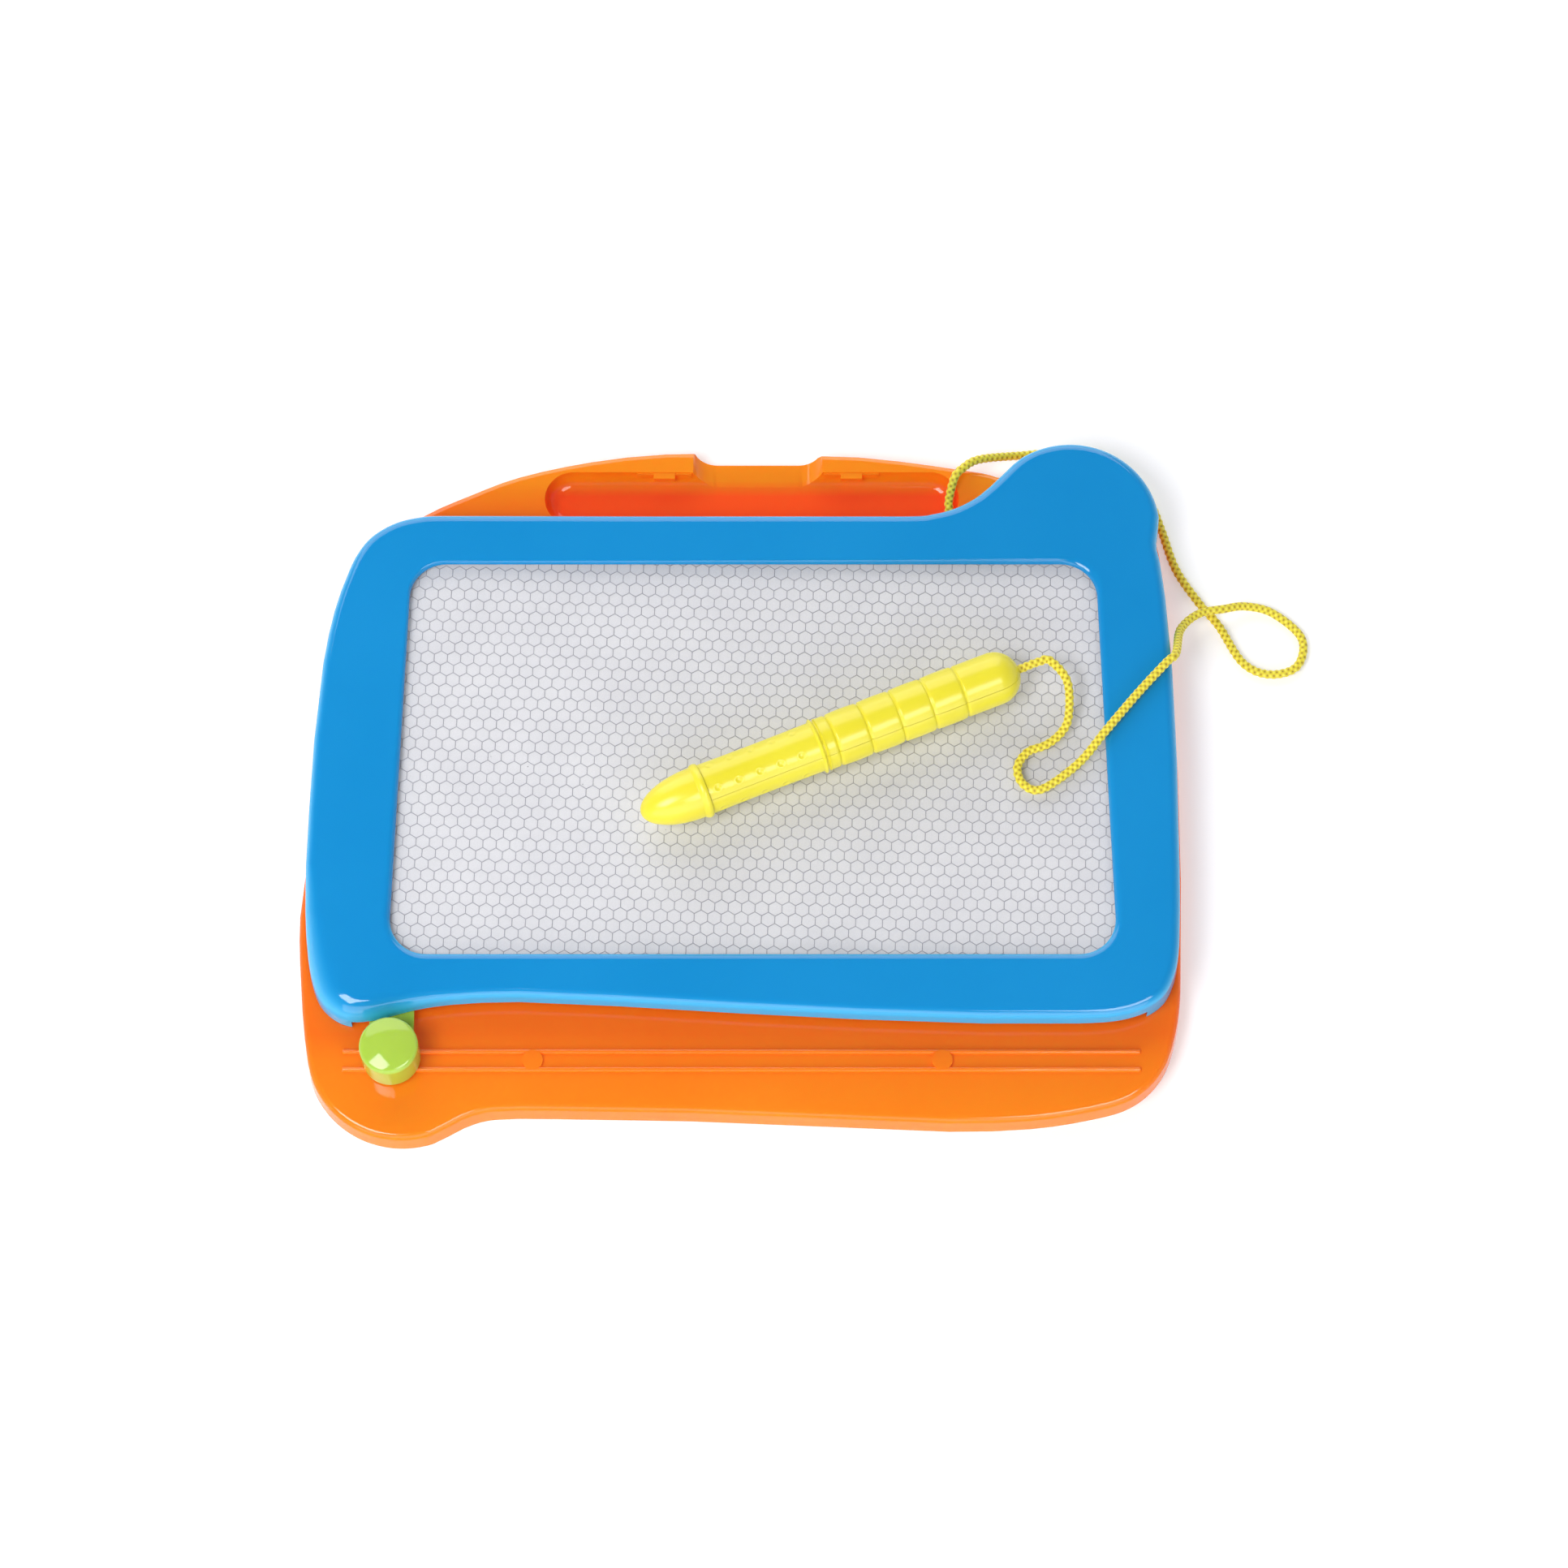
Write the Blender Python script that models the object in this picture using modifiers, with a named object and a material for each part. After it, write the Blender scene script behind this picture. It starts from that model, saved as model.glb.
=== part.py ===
# Toy magnetic drawing board: moulded base and frame, honeycomb screen, eraser slider, pen on a cord.
# Metres, +Z up, the origin on the floor under the middle of the board. +X is to the child's right.

import math

import bmesh
import bpy
from mathutils import Matrix, Vector

MM = 0.001
FIT_GAP = 0.3 * MM  # between pieces that touch
OVERRUN = 1.0 * MM  # how far a cutter reaches past what it cuts
FACET_TURN = math.radians(12.0)  # the most that an outline turns at one point
EDGE_STEPS = 3  # facets round an edge
SCOOP_STEPS = 4
BORE_SIDES = 16
ROUND_SIDES = 24
CORD_SIDES = 12
MERGE_DISTANCE = 0.01 * MM

# Board
BOARD_LENGTH = 266.0 * MM
BOARD_DEPTH = 221.5 * MM
EAR_RADIUS = 27.5 * MM  # the round ear at the back right
EAR_SIDE_INSET = 4.4 * MM  # from the board's right edge
EAR_BACK_INSET = 1.3 * MM
LOBE_RADIUS = 29.2 * MM  # the round lobe at the front left
LOBE_SIDE_INSET = 3.4 * MM

# Base
BASE_HEIGHT = 9.0 * MM
BASE_WALL = 2.0 * MM
BASE_EDGE = 2.0 * MM
BASE_DRAFT = math.radians(4.0)
HIDDEN_EAR_INSET = 1.6 * MM  # the base stays inside the frame's ear
RIB_THICKNESS = 1.4 * MM
RIB_DEPTH = 2.1 * MM
RIB_X_SHARES = (-0.53, 0.0, 0.55)
RIB_Y_SHARES = (-0.62, -0.2, 0.24)
RAIL_SPACING = 5.5 * MM
RAIL_WIDTH = 1.6 * MM
RAIL_HEIGHT = 1.0 * MM
RAIL_END_SHARES = (-0.891, 0.895)
PAD_RADIUS = 3.3 * MM
PAD_HEIGHT = 0.8 * MM
PAD_SHARES = (-0.465, 0.45)

# Pen
PEN_LENGTH = 122.5 * MM
PEN_RADIUS = 7.8 * MM
TAIL_RADIUS = 8.1 * MM
PEN_WALL = 1.4 * MM
NOSE_LENGTH = 20.4 * MM
NOSE_DOME = 17.5 * MM
NOSE_RING_RADIUS = 8.5 * MM
NOSE_RING_WIDTH = 2.0 * MM
SPIGOT_LENGTH = 6.5 * MM
TAIL_START = 56.0 * MM
TAIL_RING_RADIUS = 8.6 * MM
TAIL_RING_WIDTH = 2.0 * MM
TAIL_DOME = 8.0 * MM
GRIP_WAIST = 0.1 * MM
BAND_COUNT = 5
BAND_GROOVE = 0.45 * MM
BAND_GROOVE_WIDTH = 1.2 * MM
BAND_SWELL = 0.15 * MM
PEN_MAGNET_RADIUS = 3.0 * MM
PEN_MAGNET_LENGTH = 11.0 * MM
NOSE_WALL = 2.6 * MM
PEN_TIP_SHARES = (-0.2241, -0.13)
PEN_HEADING = math.radians(22.1)
PEN_SEAM_ROLL = math.radians(48.0)

# Pen tray, in the base's deck behind the frame
TRAY_CLEARANCE = 0.3 * MM  # beside the pen's rings
TRAY_END_CLEARANCE = 2.8 * MM
TRAY_FRAME_GAP = 0.2 * MM  # from the frame's back edge
TRAY_BACK_RIM = 7.25 * MM  # from the board's back edge
TRAY_SHARE = 0.022
TRAY_FLOOR = 2.6 * MM
TRAY_ROUNDING = 5.0 * MM
TRAY_SKIN = 2.0 * MM
SCOOP_TOP_WIDTH = 40.0 * MM
SCOOP_FLOOR_WIDTH = 25.0 * MM
SCOOP_FLOOR = 3.2 * MM
SCOOP_NOTCH = 2.6 * MM  # how far the back rim steps in behind the scoop
SCOOP_REACH = 5.0 * MM  # how far the scoop runs on past the tray's back edge
SCOOP_SHARE = 0.036
CLIP_SPACING = 58.0 * MM
CLIP_WIDTH = 6.6 * MM
CLIP_REACH = 1.4 * MM
CLIP_HEIGHT = 2.4 * MM
CLIP_PAD_WIDTH = 17.0 * MM
CLIP_PAD_REACH = 0.6 * MM

# Frame
FRAME_HEIGHT = 10.7 * MM
FRAME_WALL = 2.0 * MM
FRAME_EDGE = 3.0 * MM
FRAME_DRAFT = math.radians(3.0)
WINDOW_LEFT_BORDER = 28.1 * MM  # from the board's left edge
WINDOW_RIGHT_BORDER = 20.9 * MM
WINDOW_FRONT_BORDER = 20.2 * MM  # from the frame's front edge
WINDOW_BACK_BORDER = 16.5 * MM
WINDOW_TAPER = 4.0 * MM  # how far each side leans in towards the back
WINDOW_RADIUS = 11.0 * MM
WINDOW_EDGE = 1.5 * MM
SLOT_HEIGHT = 4.2 * MM
SLOT_END_SHARES = (-0.869, 0.909)
LOCATING_RIB = 1.2 * MM

# Screen, from its front to its back
SCREEN_MARGIN = 4.0 * MM  # past the window on each side
SCREEN_RADIUS = 4.0 * MM
TAPE_THICKNESS = 0.4 * MM
TAPE_INSET = 0.6 * MM
TAPE_WINDOW_GAP = 1.0 * MM
FRONT_FILM_THICKNESS = 0.5 * MM
CELL_SHEET_THICKNESS = 1.2 * MM
BACK_FILM_THICKNESS = 0.4 * MM

# Eraser slider
KNOB_RADIUS = 8.75 * MM
KNOB_HEIGHT = 14.0 * MM
KNOB_EDGE = 1.6 * MM
KNOB_WALL = 1.9 * MM
KNOB_TO_FRAME = 0.3 * MM
KNOB_TO_RAILS = 0.9 * MM  # the rails' middle lies this far in front of the knob's
ARM_START_SHARE = 0.4  # of the knob's radius, behind its middle
ARM_WIDTH = 13.2 * MM
ARM_LIFT = 0.7 * MM  # over the deck
ARM_SLOT_GAP = 0.6 * MM
PARKED_GAP = 5.3 * MM  # between the arm and the slot's left end
BAR_WIDTH = 8.0 * MM
BAR_OVERLAP = 2.0 * MM  # past the window at the front and the back
BAR_LIFT = 0.6 * MM
BAR_SCREEN_GAP = 0.5 * MM
ERASER_MAGNET_WIDTH = 5.0 * MM
ERASER_MAGNET_THICKNESS = 2.0 * MM
ERASER_MAGNET_INSET = 1.5 * MM  # from each end of the bar

# Screws, driven up from below into the frame's bosses
SCREW_RADIUS = 1.3 * MM
SCREW_HEAD_RADIUS = 2.9 * MM
SCREW_HEAD_HEIGHT = 1.7 * MM
SCREW_REACH = 6.2 * MM  # into the boss
SCREW_SEAT = 5.0 * MM  # height of the face under which the head sits
SCREW_POINT_SHARE = 0.4  # the point's radius, of the shank's
SCREW_CROWN_SHARE = 0.65  # the head's flat crown, of its radius
BOSS_WALL = 1.5 * MM
POST_WALL = 1.3 * MM
BOSS_SIDE_OFFSET = 9.0 * MM
BOSS_BACK_OFFSET = 5.3 * MM
LEFT_BOSS_SHARES = (-0.85, -0.12)  # of half the screen's depth
RIGHT_BOSS_SHARES = (0.06, -0.85)
BACK_BOSS_SHARES = (-0.91, -0.28, 0.34)  # back row, of half the screen's length
EAR_BOSS_LIFT = 4.0 * MM

# Cord
CORD_RADIUS = 1.4 * MM
CORD_SPACING = 5.6 * MM
CORD_KNOT_RADIUS = 2.4 * MM
PEN_STUB = 1.2 * MM  # how far the pen's end of the cord stands out of its hole
TRAY_STUB = 7.5 * MM  # from the knot's middle into the tray
CORD_HOLE_RISE = math.radians(20.0)  # the hole climbs towards the tray
CORD_HOLE_INSET = 3.0 * MM  # from the tray's right end
CORD_KNOT_HEIGHT = 4.0 * MM
CORD_ROUTE_MM = [  # from the tray, round the ear, through the loop, over the frame and to the pen's tail
    (63.98, 89.66, 6.67), (63.98, 92.1, 7.56), (63.98, 94.55, 8.45), (65.6, 100.3, 11.9), (68.1, 103.4, 12.1),
    (73.6, 107.4, 9.9), (87.5, 111.8, 2.8), (101, 113.3, 1.7), (111.5, 111.2, 1.7), (120.5, 105.2, 1.7),
    (126.6, 96.4, 1.7), (130.1, 86.6, 1.7), (134.2, 73.7, 1.7), (141.1, 62.5, 1.7), (146.8, 55.2, 1.7),
    (153.9, 43, 1.7), (162.2, 39.2, 1.7), (170.6, 42, 1.7), (172.2, 51.1, 1.7), (163.7, 59.3, 1.7),
    (155.2, 61.3, 2.6), (148.1, 59.6, 4.7), (140.4, 57.6, 5.7), (134.4, 51, 9.6), (131.9, 39.3, 19.9),
    (128.7, 35.5, 21.8), (120.1, 25.9, 21.9), (110, 13.7, 21.7), (101.6, 4, 19.2), (90.6, -4, 18.7),
    (85, -2.6, 18.7), (83.2, 2.8, 18.7), (86.4, 7.8, 18.7), (91.8, 10, 18.7), (96.4, 13.6, 19.2),
    (98.8, 18.4, 21), (98.4, 28.2, 24.8), (93.3, 34.5, 25.9), (89.9, 34.2, 25.9), (85.09, 32.25, 25.9),
]

# Places that follow from the sizes above
HALF_LENGTH = BOARD_LENGTH / 2
HALF_DEPTH = BOARD_DEPTH / 2
FRAME_BOTTOM = BASE_HEIGHT + FIT_GAP
FRAME_TOP = FRAME_BOTTOM + FRAME_HEIGHT
PLATE_UNDER = FRAME_TOP - FRAME_WALL
TAPE_TOP = PLATE_UNDER - FIT_GAP
FRONT_FILM_TOP = TAPE_TOP - TAPE_THICKNESS - FIT_GAP
CELL_SHEET_TOP = FRONT_FILM_TOP - FRONT_FILM_THICKNESS - FIT_GAP
BACK_FILM_TOP = CELL_SHEET_TOP - CELL_SHEET_THICKNESS - FIT_GAP
SCREEN_BACK = BACK_FILM_TOP - BACK_FILM_THICKNESS
EAR_CENTRE = (HALF_LENGTH - EAR_SIDE_INSET - EAR_RADIUS, HALF_DEPTH - EAR_BACK_INSET - EAR_RADIUS)
LOBE_CENTRE = (LOBE_RADIUS + LOBE_SIDE_INSET - HALF_LENGTH, LOBE_RADIUS - HALF_DEPTH)
SLOT_LEFT, SLOT_RIGHT = (share * HALF_LENGTH for share in SLOT_END_SHARES)
SLOT_TOP = FRAME_BOTTOM + SLOT_HEIGHT
TRAY_RADIUS = TAIL_RING_RADIUS + TRAY_CLEARANCE
TRAY_HALF_LENGTH = PEN_LENGTH / 2 + TRAY_END_CLEARANCE
TRAY_X = TRAY_SHARE * HALF_LENGTH
TRAY_Y = HALF_DEPTH - TRAY_BACK_RIM - TRAY_RADIUS
FRAME_BACK = TRAY_Y - TRAY_RADIUS - TRAY_FRAME_GAP  # its straight back edge
SCOOP_X = SCOOP_SHARE * HALF_LENGTH
SCREW_BORE_RADIUS = SCREW_RADIUS + FIT_GAP
BOSS_RADIUS = SCREW_BORE_RADIUS + BOSS_WALL
POST_BORE_RADIUS = SCREW_HEAD_RADIUS + FIT_GAP
POST_RADIUS = POST_BORE_RADIUS + POST_WALL
CORD_HOLE_RADIUS = CORD_RADIUS + FIT_GAP

# The outlines, counterclockwise, as shares of half the board's length and depth, but of the frame's
# straight back edge where a point of the frame lies behind the middle. An entry that starts with a
# centre's name is a point in that circle's radii from there, or an arc: how far inside the circle it
# runs, its first and last angle, and its number of points.
FRAME_OUTLINE_SHARES = [
    (-0.983, -0.253), (-0.981, -0.379), (-0.972, -0.506), (-0.953, -0.6), (-0.923, -0.653), (-0.876, -0.683),
    (-0.812, -0.679), (-0.737, -0.654), (-0.647, -0.636), (-0.496, -0.628), (-0.271, -0.64), (0.0, -0.66),
    (0.271, -0.677), (0.541, -0.688), (0.752, -0.688), (0.857, -0.677), (0.929, -0.641), (0.966, -0.582),
    (0.985, -0.479), (0.991, -0.253), (0.992, 0.058), (0.987, 0.409), (0.976, 0.679), (0.966, 0.813),
    (0.958, 0.889),
    ("ear", 0.0, 6.0, 144.0, 8), ("ear", -1.031, 0.379), ("ear", -1.287, 0.23), ("ear", -1.553, 0.153),
    ("ear", -1.824, 0.129),
    (0.15, 1.0), (-0.226, 1.0), (-0.564, 1.001), (-0.692, 1.001), (-0.744, 0.996), (-0.801, 0.973),
    (-0.854, 0.921), (-0.888, 0.851), (-0.911, 0.766), (-0.937, 0.632), (-0.959, 0.433), (-0.974, 0.14),
    (-0.98, -0.09),
]
BASE_OUTLINE_SHARES = [
    (-1.0, -0.37), (-0.997, -0.497), (-0.988, -0.632),
    ("lobe", 0.0, 188.0, 308.0, 7), ("lobe", 0.938, -0.697), ("lobe", 1.553, -0.689),
    (-0.113, -0.924), (0.21, -0.94), (0.466, -0.953), (0.647, -0.946), (0.782, -0.921), (0.872, -0.888),
    (0.936, -0.822), (0.972, -0.727), (0.992, -0.578), (1.0, -0.271), (1.0, 0.045), (0.992, 0.406),
    (0.979, 0.578), (0.971, 0.686),
    ("ear", HIDDEN_EAR_INSET, 10.0, 105.0, 6), ("ear", -0.513, 0.81), ("ear", -0.731, 0.749),
    ("ear", -0.973, 0.814), ("ear", -1.524, 0.902),
    (0.271, 0.99), (0.038, 1.0), (-0.18, 0.999), (-0.353, 0.975), (-0.519, 0.929), (-0.635, 0.873),
    (-0.741, 0.811), (-0.831, 0.722), (-0.892, 0.6), (-0.937, 0.433), (-0.966, 0.181), (-0.981, -0.05),
    (-0.99, -0.24),
]

# Places that follow from the frame's outline
FRAME_FRONT = min(entry[1] for entry in FRAME_OUTLINE_SHARES if entry[0] != "ear") * HALF_DEPTH
WINDOW_LEFT = WINDOW_LEFT_BORDER - HALF_LENGTH
WINDOW_RIGHT = HALF_LENGTH - WINDOW_RIGHT_BORDER
WINDOW_FRONT = FRAME_FRONT + WINDOW_FRONT_BORDER
WINDOW_BACK = FRAME_BACK - WINDOW_BACK_BORDER
SCREEN_LEFT, SCREEN_RIGHT = WINDOW_LEFT - SCREEN_MARGIN, WINDOW_RIGHT + SCREEN_MARGIN
SCREEN_FRONT, SCREEN_REAR = WINDOW_FRONT - SCREEN_MARGIN, WINDOW_BACK + SCREEN_MARGIN
KNOB_X = SLOT_LEFT + PARKED_GAP + ARM_WIDTH / 2
KNOB_Y = FRAME_FRONT - KNOB_TO_FRAME - KNOB_RADIUS
KNOB_BOTTOM = BASE_HEIGHT + RAIL_HEIGHT + FIT_GAP
RAIL_Y = KNOB_Y - KNOB_TO_RAILS
CORD_HOLE_X = TRAY_X + TRAY_HALF_LENGTH - CORD_HOLE_INSET


def new_collection(name):
    collection = bpy.data.collections.new(name)
    bpy.context.scene.collection.children.link(collection)
    return collection


for old in list(bpy.data.objects):
    bpy.data.objects.remove(old, do_unlink=True)
PARTS = new_collection("drawing_board")
CUTTERS = new_collection("drawing_board_cutters")
CUTTERS.hide_render = True


# Small helpers: colours, objects and the cuts between them

def linear(hex_colour):
    values = [int(hex_colour[i:i + 2], 16) / 255 for i in (1, 3, 5)]
    return [v / 12.92 if v <= 0.04045 else ((v + 0.055) / 1.055) ** 2.4 for v in values]


def plastic(name, hex_colour, roughness, metallic=0.0, alpha=1.0):
    material = bpy.data.materials.new(name)
    material.use_nodes = True
    shader = material.node_tree.nodes["Principled BSDF"]
    shader.inputs["Base Color"].default_value = (*linear(hex_colour), 1.0)
    shader.inputs["Roughness"].default_value = roughness
    shader.inputs["Metallic"].default_value = metallic
    shader.inputs["Alpha"].default_value = alpha
    return material


ORANGE = plastic("orange_abs", "#F57A1F", 0.3)
BLUE = plastic("blue_abs", "#1E90D0", 0.25)
GREEN = plastic("green_abs", "#A8D84B", 0.3)
LIME = plastic("lime_abs", "#DDE32B", 0.3)
CLEAR = plastic("clear_film", "#F4F5F8", 0.1, alpha=0.35)
SCREEN_GREY = plastic("cell_sheet", "#DEDEE3", 0.6)
WHITE_FILM = plastic("white_film", "#E9E9EC", 0.5)
TAPE_WHITE = plastic("foam_tape", "#F2F2EE", 0.8)
CORD_YELLOW = plastic("braided_cord", "#E0CC20", 0.7)
STEEL = plastic("zinc_plated_steel", "#B9BCC0", 0.3, metallic=1.0)
MAGNET = plastic("magnet", "#3A3B3E", 0.5)


def add_object(name, data, collection, material=None):
    obj = bpy.data.objects.new(name, data)
    collection.objects.link(obj)
    if material:
        data.materials.append(material)
    return obj


def finish_mesh(bm, name, material=None, cutter=False, smooth=True):
    bmesh.ops.recalc_face_normals(bm, faces=bm.faces)
    mesh = bpy.data.meshes.new(name)
    bm.to_mesh(mesh)
    bm.free()
    if smooth:
        mesh.shade_smooth()
        mesh.set_sharp_from_angle(angle=math.radians(35))
    obj = add_object(name, mesh, CUTTERS if cutter else PARTS, material)
    if cutter:
        obj.hide_render = True
        obj.display_type = "WIRE"
    return obj


def boolean(obj, operation, other):
    modifier = obj.modifiers.new(f"{operation.lower()}_{other.name}", "BOOLEAN")
    modifier.operation = operation
    modifier.object = other
    modifier.solver = "EXACT"


def cut(obj, *others):
    for other in others:
        boolean(obj, "DIFFERENCE", other)


def join(obj, *others):
    for other in others:
        boolean(obj, "UNION", other)


# Outlines

def along_curve(points, index, closed):
    """The span from points[index] to the next, as its four controls."""
    count = len(points)
    if closed:
        return [points[(index + step) % count] for step in (-1, 0, 1, 2)]
    return [points[min(max(index + step, 0), count - 1)] for step in (-1, 0, 1, 2)]


def curve_point(before, start, end, after, t):
    """A Catmull-Rom span at t."""
    return 0.5 * (2 * start + (end - before) * t + (2 * before - 5 * start + 4 * end - after) * t ** 2
                  + (3 * start - before - 3 * end + after) * t ** 3)


def smooth_outline(points):
    """A closed curve through the points, with more points where it turns more."""
    loop = []
    for index in range(len(points)):
        before, start, end, after = along_curve(points, index, True)
        turn = (end - before).angle(after - start)
        steps = max(1, math.ceil(turn / FACET_TURN))
        loop += [curve_point(before, start, end, after, step / steps) for step in range(steps)]
    return loop


def board_outline(shares, back):
    circles = {"ear": (Vector(EAR_CENTRE), EAR_RADIUS), "lobe": (Vector(LOBE_CENTRE), LOBE_RADIUS)}
    points = []
    for first, *rest in shares:
        if first not in circles:
            y = rest[0]
            points.append(Vector((first * HALF_LENGTH, y * (back if y > 0 else HALF_DEPTH))))
            continue
        centre, radius = circles[first]
        if len(rest) == 2:
            points.append(centre + radius * Vector(rest))
            continue
        inset, start, end, count = rest
        for step in range(count):
            angle = math.radians(start + (end - start) * step / (count - 1))
            points.append(centre + (radius - inset) * Vector((math.cos(angle), math.sin(angle))))
    return smooth_outline(points)


def grown(loop, distance):
    """The loop moved outwards by distance, or inwards where it is negative."""
    moved = []
    for index, point in enumerate(loop):
        back = (point - loop[index - 1]).normalized()
        ahead = (loop[(index + 1) % len(loop)] - point).normalized()
        normal = Vector((back.y + ahead.y, -back.x - ahead.x)).normalized()
        moved.append(point + normal * distance / max(0.5, normal.dot(Vector((ahead.y, -ahead.x)))))
    return moved


def rounded_corners(corners, radius, steps=5):
    """A convex polygon, counterclockwise, with round corners."""
    loop = []
    for index, corner in enumerate(corners):
        back = (corners[index - 1] - corner).normalized()
        ahead = (corners[(index + 1) % len(corners)] - corner).normalized()
        half = back.angle(ahead) / 2
        centre = corner + (back + ahead).normalized() * radius / math.sin(half)
        start = corner + back * radius / math.tan(half) - centre
        sweep = math.pi - 2 * half
        for step in range(steps + 1):
            spoke = start.copy()
            spoke.rotate(Matrix.Rotation(sweep * step / steps, 2))
            loop.append(centre + spoke)
    return loop


def rectangle(left, right, front, back):
    return [Vector((left, front)), Vector((right, front)), Vector((right, back)), Vector((left, back))]


def stadium(centre, half_length, radius, steps=8):
    """A slot's outline: straight sides and half-round ends."""
    reach = half_length - radius
    loop = []
    for side, start in ((1, -90), (-1, 90)):
        for step in range(steps + 1):
            angle = math.radians(start + 180 * step / steps)
            loop.append(centre + Vector((side * reach + radius * math.cos(angle), radius * math.sin(angle))))
    return loop


# Solids

def rounding(radius, steps=EDGE_STEPS):
    """The insets and rises of an edge rounded to radius."""
    angles = [math.pi / 2 * step / steps for step in range(steps + 1)]
    places = [(radius * (1 - math.cos(a)), radius * math.sin(a)) for a in angles]
    return [(b[0] - a[0], b[1] - a[1]) for a, b in zip(places, places[1:])]


def stepped_solids(name, loops, bottom, steps, material=None, cutter=False, downwards=False):
    """Solids that start as each loop's face and rise by (inset, rise) steps, or sink by them."""
    bm = bmesh.new()
    for loop in loops:
        face = bm.faces.new([bm.verts.new((p.x, p.y, bottom)) for p in loop])
        face.normal_update()
        if (face.normal.z < 0) != downwards:
            face.normal_flip()
        for inset, rise in steps:
            bmesh.ops.inset_region(bm, faces=[face], thickness=inset, depth=rise, use_boundary=True,
                                   use_even_offset=True)
        bmesh.ops.contextual_create(bm, geom=[edge for edge in bm.edges if edge.is_boundary])
    return finish_mesh(bm, name, material, cutter)


def stepped_solid(name, loop, bottom, steps, material=None, **choices):
    return stepped_solids(name, [loop], bottom, steps, material, **choices)


def prism(name, loop, bottom, top, material=None, cutter=False):
    bm = bmesh.new()
    face = bm.faces.new([bm.verts.new((p.x, p.y, bottom)) for p in loop])
    risen = bmesh.ops.extrude_face_region(bm, geom=[face], use_keep_orig=True)["geom"]
    verts = [item for item in risen if isinstance(item, bmesh.types.BMVert)]
    bmesh.ops.translate(bm, verts=verts, vec=(0, 0, top - bottom))
    return finish_mesh(bm, name, material, cutter)


def box(name, low, high, material=None, cutter=True, edge=0.0):
    low, high = Vector(low), Vector(high)
    bm = bmesh.new()
    bmesh.ops.create_cube(bm, size=1.0)
    bmesh.ops.scale(bm, verts=bm.verts, vec=high - low)
    bmesh.ops.translate(bm, verts=bm.verts, vec=(low + high) / 2)
    if edge:
        bmesh.ops.bevel(bm, geom=list(bm.edges), offset=edge, segments=2, profile=0.5, affect="EDGES")
    return finish_mesh(bm, name, material, cutter, smooth=False)


def cylinders(name, places, radius, bottom, top, sides=ROUND_SIDES, material=None, cutter=True):
    """One upright cylinder at each place, in one object."""
    bm = bmesh.new()
    for x, y in places:
        matrix = Matrix.Translation((x, y, (bottom + top) / 2))
        bmesh.ops.create_cone(bm, cap_ends=True, segments=sides, radius1=radius, radius2=radius,
                              depth=top - bottom, matrix=matrix)
    return finish_mesh(bm, name, material, cutter)


def turned(name, profile, sides, material=None, cutter=False, closed=True):
    """A turned solid. The profile's (radius, height) points run down the outside, top to bottom."""
    bm = bmesh.new()
    verts = [bm.verts.new((radius, 0, height)) for radius, height in profile]
    pairs = list(zip(verts, verts[1:]))
    if closed:
        pairs.append((verts[-1], verts[0]))
    for pair in pairs:
        bm.edges.new(pair)
    mesh = bpy.data.meshes.new(name)
    bm.to_mesh(mesh)
    bm.free()
    obj = add_object(name, mesh, CUTTERS if cutter else PARTS, material)
    screw = obj.modifiers.new("turn", "SCREW")
    screw.axis = "Z"
    screw.angle = 2 * math.pi
    screw.steps = screw.render_steps = sides
    screw.use_merge_vertices = True
    screw.merge_threshold = MERGE_DISTANCE
    screw.use_smooth_shade = True
    if cutter:
        obj.hide_render = True
        obj.display_type = "WIRE"
    return obj


# Places of the screws

def screw_places():
    middle_x, half_length = (SCREEN_LEFT + SCREEN_RIGHT) / 2, (SCREEN_RIGHT - SCREEN_LEFT) / 2
    middle_y, half_depth = (SCREEN_FRONT + SCREEN_REAR) / 2, (SCREEN_REAR - SCREEN_FRONT) / 2
    left, right = SCREEN_LEFT - BOSS_SIDE_OFFSET, SCREEN_RIGHT + BOSS_SIDE_OFFSET
    places = [(left, middle_y + share * half_depth) for share in LEFT_BOSS_SHARES]
    places += [(middle_x + share * half_length, SCREEN_REAR + BOSS_BACK_OFFSET) for share in BACK_BOSS_SHARES]
    places.append((EAR_CENTRE[0], EAR_CENTRE[1] + EAR_BOSS_LIFT))
    places += [(right, middle_y + share * half_depth) for share in RIGHT_BOSS_SHARES]
    return places


SCREWS = screw_places()


def window_loop(growth=0.0):
    corners = rectangle(WINDOW_LEFT, WINDOW_RIGHT, WINDOW_FRONT, WINDOW_BACK)
    for corner, way in zip(corners[2:], (-1, 1)):
        corner.x += way * WINDOW_TAPER
    return grown(rounded_corners(corners, WINDOW_RADIUS), growth)


def screen_loop(growth=0.0):
    corners = rectangle(SCREEN_LEFT, SCREEN_RIGHT, SCREEN_FRONT, SCREEN_REAR)
    return grown(rounded_corners(corners, SCREEN_RADIUS, steps=EDGE_STEPS), growth)


# Base

def tray_wall_y(x, radius):
    """The y of the tray's front side at x, for the tray or, with a larger radius, for its skin."""
    past_centre = max(0.0, abs(x - TRAY_X) - (TRAY_HALF_LENGTH - TRAY_RADIUS))
    return TRAY_Y - math.sqrt(radius ** 2 - past_centre ** 2)


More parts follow.
